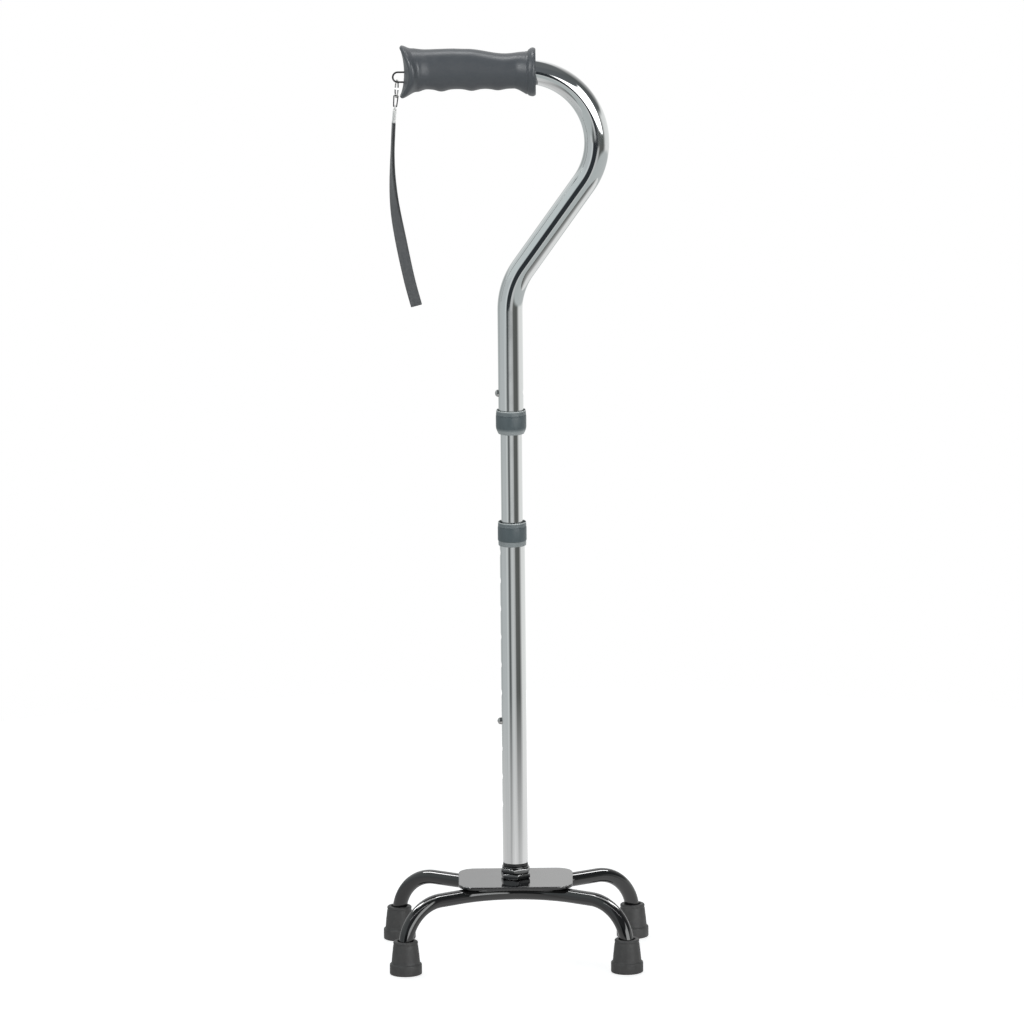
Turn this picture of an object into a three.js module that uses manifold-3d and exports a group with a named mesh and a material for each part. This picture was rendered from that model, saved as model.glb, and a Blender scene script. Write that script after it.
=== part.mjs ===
// Quad walking cane: a four-footed base, a telescoping three-piece shaft with snap buttons and
// lock rings, and a swan-neck handle with a moulded grip and a wrist strap.
// Units are millimetres and +Z is up. The origin is on the floor, under the shaft's axis.
// The grip points to -X, and the two wider feet are on the +Y side.

import * as THREE from 'three';
import { mergeVertices } from 'three/addons/utils/BufferGeometryUtils.js';
import Module from 'manifold-3d';

const wasm = await Module();
wasm.setup();

// ---------------------------------------------------------------- driving dimensions

const GAP = 0.3; // between two pieces that touch
const INCH = 25.4;

// shaft tubes
const OUTER_R = 11.1; // handle tube and lower tube, 7/8 inch
const TUBE_WALL = 1.2;
const TUBE_SLIP = 0.375; // between the telescoping tubes
const MIDDLE_R = OUTER_R - TUBE_WALL - TUBE_SLIP; // 3/4 inch across

// height holes and snap buttons, all on the -X side
const HOLE_R = 3.7;
const HOLE_COUNT = 10;
const LOWEST_HOLE_UP = 52.6; // above the lower tube's end
const HOLE_IN_USE = 3; // counted up from the lowest, which is 0
const LAST_HOLE_MARGIN = 14.9; // from the top hole to the lower tube's top
const HANDLE_HOLE_UP = 26; // above the handle tube's end
const MIDDLE_TUBE_BELOW = 27.2; // of the lower button
const MIDDLE_TUBE_ABOVE = 38; // of the upper button
const SHOWN_MIDDLE_TUBE = 103; // from the lower tube's top to the handle tube
const BUTTON_R = 3.3;
const BUTTON_REST_R = 4.2; // shoulder inside the tube
const LOWER_BUTTON_OUT = 3.7; // dome height outside the tube
const UPPER_BUTTON_OUT = 2.9;
const SPRING_STRIP = 0.6;
const SPRING_WIDTH = 7;

// lock rings
const UPPER_RING_R = OUTER_R + 2.4;
const UPPER_RING_ON = 11.2; // how far it comes up the handle tube
const UPPER_RING_OFF = 10.2; // and below it
const LOWER_RING_R = OUTER_R + 1.7;
const LOWER_RING_ON = 7.9; // how far it comes down the lower tube
const LOWER_RING_OFF = 13.4; // and above it
const RING_MOUTH = 4.4; // chamfered top part of a ring

// swan neck
const NECK_CORNER_UP = 121.4; // from the handle tube's end to where its axes meet
const NECK_TURN = THREE.MathUtils.degToRad(35.7);
const NECK_BEND_R = 63.5;
const NECK_RISE = 192.2; // from there up to the grip's axis
const HANDLE_END_X = -88.5;

// grip
const GRIP_LEFT = -94.8; // middle of the rounded end
const GRIP_RIGHT = 24.6;
const GRIP_END_R = 24; // the rounded end, seen from above
const FINGER_RIDGES = [
  { x: -58.2, height: 2.1 },
  { x: -31.6, height: 1.8 },
  { x: -8.6, height: 1.5 },
];

// base
const PLATE_X = 101.6;
const PLATE_Y = 75;
const PLATE_T = 3;
const PLATE_CORNER_R = 15;
const LEG_R = 6.35;
const LEG_WALL = 1.5;
const LEG_Z = 61; // axis of the level part of a leg
const LEG_DROP_R = 38; // bend down to a foot; it starts inside the tip, whose mouth makes room
const LEG_OFFSET = 17; // from the shaft's axis to a leg's axis, where they are nearest
const LEG_OVERSHOOT = 2.4; // a leg's straight halves, carried on, meet this far past the shaft
const FOOT_Y = 67;
const FRONT_FOOT_X = 98;
const REAR_FOOT_X = 104.5;

// rubber tips
const TIP_R = 14.3;
const TIP_FLANGE_H = 9.6;
const TIP_CONE_BOTTOM_R = 12.85;
const TIP_CONE_TOP_R = 10.3;
const TIP_H = 30;
const TIP_SOLE = 6; // rubber under the disc
const DISC_T = 1.2;

// stem
const STUD_R = 5;
const STUD_BELOW_NUT = 2.05;
const PLUG_DEPTH = 20.1; // inside the lower tube
const FLANGE_T = 2.3;
const STEM_WASHER_R = OUTER_R + 0.8;
const STEM_WASHER_T = 1.2;
const NUT_FLAT = 24; // across flats
const JAM_NUT_T = 4.4;
const BASE_NUT_T = 4.85;
const UNDER_WASHER_R = LEG_OFFSET - LEG_R - 0.65; // between the two legs
const UNDER_WASHER_T = 1.5;
const UNDER_NUT_FLAT = 1.7 * UNDER_WASHER_R;
const UNDER_NUT_T = 7;
const WELD_R = 1.6;
const WELD_SPREAD = THREE.MathUtils.degToRad(25);

// wrist strap and its fittings
const EYE_R = 4.4; // of the bent wire's axis
const EYE_LEG_IN = 1.2; // from the lower leg's axis to the handle tube's wall
const EYE_DROP = OUTER_R - TUBE_WALL - EYE_LEG_IN - EYE_R; // below the grip's axis
const EYE_WIRE_R = 0.8;
const EYE_OUT = 1.7; // past the grip's end
const EYE_ROOT_IN = 10.5; // inside the end of the handle tube
const HANG_TILT = THREE.MathUtils.degToRad(5.5);
const RING_R = 7.6; // of the wire's axis
const RING_WIRE_R = 0.65;
const LINK_WIRE_R = 0.55;
const LINK_TOP_HALF = 1.85;
const LINK_BOTTOM_HALF = 1.35;
const LINK_H = 9.9; // between the axes of its two bars
const FERRULE = { x: 3.2, y: 10.6, z: 11.6 };
const STRAP_WIDTH = 10;
const STRAP_T = 2.8;
// the strap's line, measured out and down from the axis where its fittings hang
const STRAP_DROPS = [
  [5, 66.15],
  [5, 90.65],
  [3, 115.95],
  [-2.4, 147.75],
  [-8.7, 178.65],
  [-14.6, 201.65],
];

// roundness
const TUBE_SIDES = 24;
const LEG_SIDES = 12;
const SMALL_SIDES = 16;
const WIRE_SIDES = 8;

// ---------------------------------------------------------------- derived positions

// the stack on the plate, from below
const PLATE_BOTTOM = LEG_Z + LEG_R + GAP;
const PLATE_TOP = PLATE_BOTTOM + PLATE_T;
const BASE_NUT_BOTTOM = PLATE_TOP + GAP;
const JAM_NUT_BOTTOM = BASE_NUT_BOTTOM + BASE_NUT_T + GAP;
const STEM_WASHER_BOTTOM = JAM_NUT_BOTTOM + JAM_NUT_T + GAP;
const FLANGE_BOTTOM = STEM_WASHER_BOTTOM + STEM_WASHER_T + GAP;
const LOWER_TUBE_BOTTOM = FLANGE_BOTTOM + FLANGE_T + GAP;
const PLUG_TOP = LOWER_TUBE_BOTTOM + PLUG_DEPTH;

// the shaft, from below
const LOWEST_HOLE = LOWER_TUBE_BOTTOM + LOWEST_HOLE_UP;
const LOWER_BUTTON_Z = LOWEST_HOLE + HOLE_IN_USE * INCH;
const LOWER_TUBE_TOP = LOWEST_HOLE + (HOLE_COUNT - 1) * INCH + LAST_HOLE_MARGIN;
const LOWER_RING_TOP = LOWER_TUBE_TOP + LOWER_RING_OFF;
const LOWER_RING_BOTTOM = LOWER_TUBE_TOP - LOWER_RING_ON;
const MIDDLE_TUBE_BOTTOM = LOWER_BUTTON_Z - MIDDLE_TUBE_BELOW;
const HANDLE_TUBE_BOTTOM = LOWER_TUBE_TOP + SHOWN_MIDDLE_TUBE;
const UPPER_RING_TOP = HANDLE_TUBE_BOTTOM + UPPER_RING_ON;
const UPPER_RING_BOTTOM = HANDLE_TUBE_BOTTOM - UPPER_RING_OFF;
const UPPER_BUTTON_Z = HANDLE_TUBE_BOTTOM + HANDLE_HOLE_UP;
const MIDDLE_TUBE_TOP = UPPER_BUTTON_Z + MIDDLE_TUBE_ABOVE;
const NECK_CORNER_Z = HANDLE_TUBE_BOTTOM + NECK_CORNER_UP;
const GRIP_Z = NECK_CORNER_Z + NECK_RISE; // axis of the handle tube inside the grip

// the strap's eye
const EYE_Z = GRIP_Z - EYE_DROP;
const EYE_BEND_X = GRIP_LEFT - EYE_OUT;
const EYE_ROOT_X = HANDLE_END_X + EYE_ROOT_IN;

const BUSH_R = MIDDLE_R + GAP; // inside radius of the bushes
const UPPER_BUSH_OUT = UPPER_RING_R - 1.7;
const LOWER_BUSH_OUT = LOWER_RING_R - 1.2;

// ---------------------------------------------------------------- geometry helpers

// Positions only, shared vertices merged, and faces pointing out.
function closed(geometry) {
  const bare = geometry.clone();
  bare.deleteAttribute('normal');
  bare.deleteAttribute('uv');
  const merged = mergeVertices(bare, 1e-4);
  const p = merged.attributes.position;
  const index = Array.from(merged.index.array);
  const kept = [];
  for (let i = 0; i < index.length; i += 3) {
    const [a, b, c] = index.slice(i, i + 3);
    if (a !== b && b !== c && c !== a) kept.push(a, b, c);
  }
  const [a, b, c] = [new THREE.Vector3(), new THREE.Vector3(), new THREE.Vector3()];
  let volume = 0;
  for (let i = 0; i < kept.length; i += 3) {
    a.fromBufferAttribute(p, kept[i]);
    b.fromBufferAttribute(p, kept[i + 1]);
    c.fromBufferAttribute(p, kept[i + 2]);
    volume += a.dot(b.cross(c)) / 6;
  }
  if (volume < 0) {
    for (let i = 0; i < kept.length; i += 3) {
      [kept[i + 1], kept[i + 2]] = [kept[i + 2], kept[i + 1]];
    }
  }
  merged.setIndex(kept);
  return merged;
}

function solidOf(geometry) {
  const g = closed(geometry);
  return new wasm.Manifold(
    new wasm.Mesh({
      numProp: 3,
      vertProperties: new Float32Array(g.attributes.position.array),
      triVerts: new Uint32Array(g.index.array),
    })
  );
}

function geometryOf(solid) {
  const mesh = solid.getMesh();
  const g = new THREE.BufferGeometry();
  g.setAttribute('position', new THREE.BufferAttribute(new Float32Array(mesh.vertProperties), 3));
  g.setIndex(Array.from(mesh.triVerts));
  return g;
}

function cut(geometry, tools) {
  let solid = solidOf(geometry);
  for (const tool of tools) solid = solid.subtract(solidOf(tool));
  return geometryOf(solid);
}

function join(geometries) {
  return geometryOf(geometries.map(solidOf).reduce((all, next) => all.add(next)));
}

// A turned piece about the Z axis, from [radius, height] pairs.
function turned(profile, sides = TUBE_SIDES) {
  const points = profile.map(([r, z]) => new THREE.Vector2(r, z));
  return new THREE.LatheGeometry(points, sides).rotateX(Math.PI / 2);
}

// A round sleeve about the Z axis.
function sleeve(inner, outer, bottom, top, sides = TUBE_SIDES) {
  return turned(
    [[inner, bottom], [outer, bottom], [outer, top], [inner, top], [inner, bottom]],
    sides
  );
}

// A round pin along X.
function pinX(radius, from, to, z, sides = SMALL_SIDES) {
  const pin = new THREE.CylinderGeometry(radius, radius, to - from, sides);
  return pin.rotateZ(Math.PI / 2).translate((from + to) / 2, 0, z);
}

function hexNut(flat, hole, bottom, height, turn) {
  const corner = flat / 2 / Math.cos(Math.PI / 6);
  const outline = new THREE.Shape();
  for (let i = 0; i < 6; i++) {
    const angle = turn + (i * Math.PI) / 3;
    const [x, y] = [corner * Math.cos(angle), corner * Math.sin(angle)];
    if (i === 0) outline.moveTo(x, y);
    else outline.lineTo(x, y);
  }
  outline.closePath();
  outline.holes.push(new THREE.Path().absarc(0, 0, hole, 0, Math.PI * 2, true));
  const nut = new THREE.ExtrudeGeometry(outline, {
    depth: height,
    bevelEnabled: false,
    curveSegments: SMALL_SIDES / 2,
  });
  return nut.translate(0, 0, bottom);
}

function roundSection(outer, inner = 0) {
  const section = new THREE.Shape().absarc(0, 0, outer, 0, Math.PI * 2, false);
  if (inner > 0) section.holes.push(new THREE.Path().absarc(0, 0, inner, 0, Math.PI * 2, true));
  return section;
}

// A centreline of straight runs joined by round bends. A straight run takes one step and a bend
// takes as many as its angle needs.
class BentLine extends THREE.Curve {
  constructor(corners, radii, degreesPerStep) {
    super();
    const last = corners.length - 1;
    const heading = (i) => corners[i + 1].clone().sub(corners[i]).normalize();
    this.stations = [corners[0].clone()];
    this.headings = [heading(0)];
    for (let i = 1; i < last; i++) {
      const before = heading(i - 1);
      const turn = before.angleTo(heading(i));
      const axis = before.clone().cross(heading(i)).normalize();
      const start = corners[i].clone().addScaledVector(before, -radii[i - 1] * Math.tan(turn / 2));
      const arm = before.clone().cross(axis).multiplyScalar(radii[i - 1]);
      const centre = start.clone().sub(arm);
      const steps = Math.ceil(THREE.MathUtils.radToDeg(turn) / degreesPerStep);
      for (let k = 0; k <= steps; k++) {
        const angle = (turn * k) / steps;
        this.stations.push(arm.clone().applyAxisAngle(axis, angle).add(centre));
        this.headings.push(before.clone().applyAxisAngle(axis, angle));
      }
    }
    this.stations.push(corners[last].clone());
    this.headings.push(heading(last - 1));
    this.steps = this.stations.length - 1;
  }

  place(t) {
    const at = THREE.MathUtils.clamp(t, 0, 1) * this.steps;
    const i = Math.min(Math.floor(at + 1e-9), this.steps - 1);
    return [i, at - i];
  }

  getPoint(t, target = new THREE.Vector3()) {
    const [i, f] = this.place(t);
    return target.lerpVectors(this.stations[i], this.stations[i + 1], f);
  }

  getTangent(t, target = new THREE.Vector3()) {
    const [i, f] = this.place(t);
    return target.lerpVectors(this.headings[i], this.headings[i + 1], f).normalize();
  }

  getUtoTmapping(u) {
    return u;
  }
}

function alongLine(line, section, sides) {
  return new THREE.ExtrudeGeometry(section, {
    steps: line.steps,
    extrudePath: line,
    bevelEnabled: false,
    curveSegments: sides / 2, // a full circle gets two sides for each
  });
}

// A value read from [position, value] pairs, eased from one pair to the next.
function eased(pairs, x) {
  if (x <= pairs[0][0]) return pairs[0][1];
  for (let i = 1; i < pairs.length; i++) {
    const [x0, v0] = pairs[i - 1];
    const [x1, v1] = pairs[i];
    if (x <= x1) return v0 + (v1 - v0) * THREE.MathUtils.smoothstep(x, x0, x1);
  }
  return pairs[pairs.length - 1][1];
}

const v3 = (x, y, z) => new THREE.Vector3(x, y, z);

// ---------------------------------------------------------------- materials and the group

const looks = {
  chrome: { color: 0xb4bcbe, roughness: 0.18, metalness: 1 },
  glossBlack: { color: 0x121314, roughness: 0.2, metalness: 0.1 },
  greyPlastic: { color: 0x5c666a, roughness: 0.35, metalness: 0 },
  blackPlastic: { color: 0x1d1e20, roughness: 0.45, metalness: 0 },
  grip: { color: 0x575b60, roughness: 0.5, metalness: 0 },
  rubber: { color: 0x3c3e3f, roughness: 0.85, metalness: 0 },
  webbing: { color: 0x3f4245, roughness: 0.9, metalness: 0 },
  spring: { color: 0x8f9496, roughness: 0.3, metalness: 1 },
};

const cane = new THREE.Group();
cane.name = 'quad_walking_cane';

function addPiece(name, geometry, look, parent = cane) {
  const mesh = new THREE.Mesh(closed(geometry), new THREE.MeshStandardMaterial(looks[look]));
  mesh.name = name;
  parent.add(mesh);
  return mesh;
}

// ---------------------------------------------------------------- base: legs, tips and plate

function legLine(footX, side) {
  const reach = side * FOOT_Y;
  const past = -side * LEG_OVERSHOOT;
  const slope = Math.atan2(FOOT_Y + LEG_OVERSHOOT, footX);
  const planR = (LEG_OFFSET + LEG_OVERSHOOT) / (1 / Math.cos(slope) - 1);
  const legEnd = TIP_SOLE + GAP + DISC_T + GAP;
  const corners = [
    v3(-footX, reach, legEnd),
    v3(-footX, reach, LEG_Z),
    v3(0, past, LEG_Z),
    v3(footX, reach, LEG_Z),
    v3(footX, reach, legEnd),
  ];
  const line = new BentLine(corners, [LEG_DROP_R, planR, LEG_DROP_R], 11);
  line.planR = planR;
  return line;
}

for (const [row, footX, side] of [['front', FRONT_FOOT_X, -1], ['rear', REAR_FOOT_X, 1]]) {
  const line = legLine(footX, side);
  const section = roundSection(LEG_R, LEG_R - LEG_WALL);
  addPiece(`${row}_leg`, alongLine(line, section, LEG_SIDES), 'glossBlack');

  // the weld bead runs in the corner between the plate and the outer side of the leg
  const weldDrop = LEG_R + GAP - (GAP + WELD_R);
  const weldOut = Math.sqrt((LEG_R + GAP + WELD_R) ** 2 - weldDrop ** 2);
  const weldR = line.planR - weldOut;
  const weldPoints = [];
  for (let i = 0; i <= 6; i++) {
    const angle = -WELD_SPREAD + (i * WELD_SPREAD) / 3;
    const y = LEG_OFFSET + line.planR - weldR * Math.cos(angle);
    weldPoints.push(v3(weldR * Math.sin(angle), side * y, LEG_Z + weldDrop));
  }
  const weldLine = new THREE.CatmullRomCurve3(weldPoints);
  weldLine.steps = 10;
  addPiece(`${row}_weld`, alongLine(weldLine, roundSection(WELD_R), WIRE_SIDES), 'glossBlack');

  for (const [hand, sign] of [['left', -1], ['right', 1]]) {
    const foot = new THREE.Group();
    foot.position.set(sign * footX, side * FOOT_Y, 0);
    cane.add(foot);
    const cavity = LEG_R + GAP;
    const bendStart = LEG_Z - LEG_DROP_R;
    const lean = LEG_DROP_R - Math.sqrt(LEG_DROP_R ** 2 - (TIP_H - bendStart) ** 2);
    const mouth = cavity + lean + 0.15;
    const tip = turned([
      [0, 0],
      [TIP_R - 0.8, 0],
      [TIP_R, 0.8],
      [TIP_R, TIP_FLANGE_H - 0.4],
      [TIP_R - 0.5, TIP_FLANGE_H],
      [TIP_CONE_BOTTOM_R, TIP_FLANGE_H + 0.3],
      [TIP_CONE_TOP_R, TIP_H - 1.2],
      [TIP_CONE_TOP_R - 1.2, TIP_H],
      [mouth, TIP_H],
      [cavity, bendStart],
      [cavity, TIP_SOLE],
      [0, TIP_SOLE],
    ]);
    addPiece(`${row}_${hand}_tip`, tip, 'rubber', foot);
    const discBottom = TIP_SOLE + GAP;
    const disc = turned([
      [0, discBottom],
      [LEG_R - 0.1, discBottom],
      [LEG_R - 0.1, discBottom + DISC_T],
      [0, discBottom + DISC_T],
    ], SMALL_SIDES);
    addPiece(`${row}_${hand}_tip_disc`, disc, 'spring', foot);
  }
}

const plateOutline = new THREE.Shape();
const [halfX, halfY, cornerR] = [PLATE_X / 2, PLATE_Y / 2, PLATE_CORNER_R];
plateOutline.absarc(halfX - cornerR, halfY - cornerR, cornerR, 0, Math.PI / 2, false);
plateOutline.absarc(cornerR - halfX, halfY - cornerR, cornerR, Math.PI / 2, Math.PI, false);
plateOutline.absarc(cornerR - halfX, cornerR - halfY, cornerR, Math.PI, Math.PI * 1.5, false);
plateOutline.absarc(halfX - cornerR, cornerR - halfY, cornerR, Math.PI * 1.5, Math.PI * 2, false);
plateOutline.holes.push(new THREE.Path().absarc(0, 0, STUD_R + GAP, 0, Math.PI * 2, true));
const plate = new THREE.ExtrudeGeometry(plateOutline, {
  depth: PLATE_T,
  bevelEnabled: false,
  curveSegments: 6,
});
addPiece('base_plate', plate.translate(0, 0, PLATE_BOTTOM), 'glossBlack');

// ---------------------------------------------------------------- stem: stud, nuts and washers

const studHole = STUD_R + GAP;
const underTop = PLATE_BOTTOM - GAP;
const underNutBottom = underTop - UNDER_WASHER_T - GAP - UNDER_NUT_T;
const studBottom = underNutBottom - STUD_BELOW_NUT;
addPiece('stem_plug', turned([
  [0, studBottom],
  [STUD_R - 0.8, studBottom],
  [STUD_R, studBottom + 0.8],
  [STUD_R, FLANGE_BOTTOM],
  [OUTER_R, FLANGE_BOTTOM],
  [OUTER_R, FLANGE_BOTTOM + FLANGE_T],
  [OUTER_R - TUBE_WALL - GAP, FLANGE_BOTTOM + FLANGE_T],
  [OUTER_R - TUBE_WALL - GAP, PLUG_TOP - 1],
  [OUTER_R - TUBE_WALL - GAP - 1, PLUG_TOP],
  [0, PLUG_TOP],
]), 'blackPlastic');

const washerTop = STEM_WASHER_BOTTOM + STEM_WASHER_T;
const stemWasher = sleeve(studHole, STEM_WASHER_R, STEM_WASHER_BOTTOM, washerTop);
addPiece('stem_washer', stemWasher, 'glossBlack');

const jamTurn = THREE.MathUtils.degToRad(24);
addPiece('jam_nut', hexNut(NUT_FLAT, studHole, JAM_NUT_BOTTOM, JAM_NUT_T, jamTurn), 'glossBlack');
const baseTurn = THREE.MathUtils.degToRad(38);
const baseNut = hexNut(NUT_FLAT, studHole, BASE_NUT_BOTTOM, BASE_NUT_T, baseTurn);
addPiece('base_nut', baseNut, 'glossBlack');

const underWasher = sleeve(studHole, UNDER_WASHER_R, underTop - UNDER_WASHER_T, underTop);
addPiece('under_washer', underWasher, 'spring');
const underNut = hexNut(UNDER_NUT_FLAT, studHole, underNutBottom, UNDER_NUT_T, 0);
addPiece('under_nut', underNut, 'glossBlack');

// ---------------------------------------------------------------- shaft: lower and middle tubes

const outerInside = OUTER_R - TUBE_WALL;
const middleInside = MIDDLE_R - TUBE_WALL;
const heightHoles = [];
for (let i = 0; i < HOLE_COUNT; i++) {
  heightHoles.push(pinX(HOLE_R, -OUTER_R - 2, -4, LOWEST_HOLE + i * INCH));
}
const lowerTube = sleeve(outerInside, OUTER_R, LOWER_TUBE_BOTTOM, LOWER_TUBE_TOP);
addPiece('lower_tube', cut(lowerTube, heightHoles), 'chrome');

const middleTube = sleeve(middleInside, MIDDLE_R, MIDDLE_TUBE_BOTTOM, MIDDLE_TUBE_TOP);
const middleHoles = [LOWER_BUTTON_Z, UPPER_BUTTON_Z].map((z) => pinX(HOLE_R, -OUTER_R, -4, z));
addPiece('middle_tube', cut(middleTube, middleHoles), 'chrome');

// ---------------------------------------------------------------- bushes and lock rings

const lowerBushBottom = LOWER_TUBE_TOP + GAP;
const lowerBushTop = LOWER_RING_TOP - 3.4;
const lowerBush = sleeve(BUSH_R, LOWER_BUSH_OUT, lowerBushBottom, lowerBushTop);
addPiece('lower_bush', lowerBush, 'blackPlastic');

addPiece('lower_lock_ring', turned([
  [OUTER_R + GAP, LOWER_RING_BOTTOM],
  [LOWER_RING_R - 0.9, LOWER_RING_BOTTOM],
  [LOWER_RING_R - 0.5, LOWER_RING_BOTTOM + 1.2],
  [LOWER_RING_R - 0.5, LOWER_RING_BOTTOM + 4.4],
  [LOWER_RING_R, LOWER_RING_BOTTOM + 5],
  [LOWER_RING_R, LOWER_RING_TOP - RING_MOUTH],
  [LOWER_RING_R - 0.3, LOWER_RING_TOP - RING_MOUTH + 0.4],
  [LOWER_RING_R - 0.45, LOWER_RING_TOP],
  [LOWER_BUSH_OUT + GAP + 0.1, LOWER_RING_TOP],
  [LOWER_BUSH_OUT + GAP, LOWER_RING_TOP - RING_MOUTH],
  [LOWER_BUSH_OUT + GAP, LOWER_TUBE_TOP],
  [OUTER_R + GAP, LOWER_TUBE_TOP],
  [OUTER_R + GAP, LOWER_RING_BOTTOM],
]), 'greyPlastic');

const upperBushTop = HANDLE_TUBE_BOTTOM - GAP;
const upperBushBottom = UPPER_RING_BOTTOM + 2.2;
const upperBush = sleeve(BUSH_R, UPPER_BUSH_OUT, upperBushBottom, upperBushTop);
addPiece('upper_bush', upperBush, 'blackPlastic');

addPiece('upper_lock_ring', turned([
  [BUSH_R, UPPER_RING_BOTTOM],
  [UPPER_RING_R - 2.5, UPPER_RING_BOTTOM],
  [UPPER_RING_R - 0.9, UPPER_RING_BOTTOM + 2.7],
  [UPPER_RING_R, UPPER_RING_BOTTOM + 5.9],
  [UPPER_RING_R, UPPER_RING_TOP - RING_MOUTH],
  [UPPER_RING_R - 0.4, UPPER_RING_TOP - RING_MOUTH + 0.4],
  [UPPER_RING_R - 0.6, UPPER_RING_TOP],
  [UPPER_BUSH_OUT + GAP + 0.5, UPPER_RING_TOP],
  [UPPER_BUSH_OUT + GAP, UPPER_RING_TOP - RING_MOUTH],
  [UPPER_BUSH_OUT + GAP, UPPER_RING_BOTTOM + 1.9],
  [BUSH_R, UPPER_RING_BOTTOM + 1.9],
  [BUSH_R, UPPER_RING_BOTTOM],
]), 'greyPlastic');

// ---------------------------------------------------------------- snap buttons and their springs

// A hairpin of strip steel inside the middle tube: one leg carries the button, the other bears
// on the far wall, and the bend is below the button.
const springRight = middleInside - 1.125;
const springLeft = -(middleInside - 2.725);
function hairpin(z) {
  const middle = (springLeft + springRight) / 2;
  const outer = (springRight - springLeft) / 2;
  const [top, bottom] = [9, -19.5];
  const outline = new THREE.Shape();
  outline.moveTo(springLeft, top);
  outline.lineTo(springLeft, bottom);
  outline.absarc(middle, bottom, outer, Math.PI, Math.PI * 2, false);
  outline.lineTo(springRight, top);
  outline.lineTo(springRight - SPRING_STRIP, top);
  outline.lineTo(springRight - SPRING_STRIP, bottom);
  outline.absarc(middle, bottom, outer - SPRING_STRIP, Math.PI * 2, Math.PI, true);
  outline.lineTo(springLeft + SPRING_STRIP, top);
  outline.closePath();
  const strip = new THREE.ExtrudeGeometry(outline, {
    depth: SPRING_WIDTH,
    bevelEnabled: false,
    curveSegments: 6,
  });
  return strip.rotateX(Math.PI / 2).translate(0, SPRING_WIDTH / 2, z);
}

function snapButton(out, z) {
  const face = OUTER_R + out;
  const shoulder = -springLeft + GAP;
  const profile = [
    [0, shoulder],
    [BUTTON_REST_R, shoulder],
    [BUTTON_REST_R, shoulder + 0.8],
    [BUTTON_R, shoulder + 0.8],
  ];
  const domeHeight = Math.min(out, BUTTON_R) * 0.85;
  for (let i = 0; i <= 5; i++) {
    const angle = (i * Math.PI) / 10;
    const height = face - domeHeight + domeHeight * Math.sin(angle);
    profile.push([i === 5 ? 0 : BUTTON_R * Math.cos(angle), height]);
  }
  return turned(profile, SMALL_SIDES).rotateY(-Math.PI / 2).translate(0, 0, z);
}

addPiece('lower_button', snapButton(LOWER_BUTTON_OUT, LOWER_BUTTON_Z), 'spring');
addPiece('lower_button_spring', hairpin(LOWER_BUTTON_Z), 'spring');
addPiece('upper_button', snapButton(UPPER_BUTTON_OUT, UPPER_BUTTON_Z), 'spring');
addPiece('upper_button_spring', hairpin(UPPER_BUTTON_Z), 'spring');

// ---------------------------------------------------------------- handle tube and grip

const neckRun = Math.tan(NECK_TURN) * (GRIP_Z - NECK_CORNER_Z);
const neck = new BentLine(
  [
    v3(0, 0, HANDLE_TUBE_BOTTOM),
    v3(0, 0, NECK_CORNER_Z),
    v3(neckRun, 0, GRIP_Z),
    v3(HANDLE_END_X, 0, GRIP_Z),
  ],
  [NECK_BEND_R, NECK_BEND_R],
  9
);
const handleTube = alongLine(neck, roundSection(OUTER_R, outerInside), TUBE_SIDES);
// one hole for each hand, on opposite sides
const handleHoles = [
  pinX(HOLE_R, -OUTER_R - 2, -4, UPPER_BUTTON_Z),
  pinX(HOLE_R, 4, OUTER_R + 2, UPPER_BUTTON_Z),
];
addPiece('handle_tube', cut(handleTube, handleHoles), 'chrome');

// Half-heights above and below the axis, and half-width, along the grip.
const gripTop = [
  [-94, 23.9], [-85, 20.9], [-73, 19.6], [-49, 20.9], [-38, 20.5],
  [-2, 15.7], [15, 17.2], [22, 21], [24.6, 20.4],
];
const gripBottom = [[-94, 23.1], [-80, 17.4], [-71, 15.2], [5, 15.2], [22, 22.2], [24.6, 21.6]];
const gripSide = [[-94, 21.5], [-80, 17], [-68, 15.6], [6, 15.4], [22, 20.8], [24.6, 20.2]];

function gripSurface(x, angle) {
  const up = Math.cos(angle);
  let height = eased(up > 0 ? gripTop : gripBottom, x);
  if (up < 0) {
    for (const ridge of FINGER_RIDGES) {
      height += ridge.height * Math.exp(-(((x - ridge.x) / 6) ** 2)) * up * up;
    }
  }
  return [eased(gripSide, x) * Math.sin(angle), height * up];
}

// A unit-radius turned blank is shaped station by station, then bored for the tube and the eye.
const GRIP_STATIONS = 28;
const gripBlank = [[0, GRIP_LEFT], [0.5, GRIP_LEFT]];
for (let i = 0; i <= GRIP_STATIONS; i++) {
  gripBlank.push([1, GRIP_LEFT + ((GRIP_RIGHT - GRIP_LEFT) * i) / GRIP_STATIONS]);
}
gripBlank.push([0.5, GRIP_RIGHT], [0, GRIP_RIGHT]);
const grip = turned(gripBlank, TUBE_SIDES);
const gripPoints = grip.attributes.position;
for (let i = 0; i < gripPoints.count; i++) {
  const [x, y, along] = [gripPoints.getX(i), gripPoints.getY(i), gripPoints.getZ(i)];
  const share = Math.hypot(x, y);
  const [side, height] = gripSurface(along, Math.atan2(y, x));
  // the left end is rounded when seen from above, and the rounding fades along the grip
  const fade = 1 - THREE.MathUtils.smoothstep(along, GRIP_LEFT, GRIP_LEFT + 30);
  const back = ((share * side) ** 2 / (2 * GRIP_END_R)) * fade;
  gripPoints.setXYZ(i, along + back, share * side, GRIP_Z + share * height);
}
const boreStart = HANDLE_END_X - GAP;
const eyeHoles = [1, -1].map((side) =>
  pinX(EYE_WIRE_R + GAP, GRIP_LEFT - 5, boreStart + 2, EYE_Z + side * EYE_R, 12)
);
const tubeBore = pinX(OUTER_R + GAP, boreStart, GRIP_RIGHT + 5, GRIP_Z, TUBE_SIDES);
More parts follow.
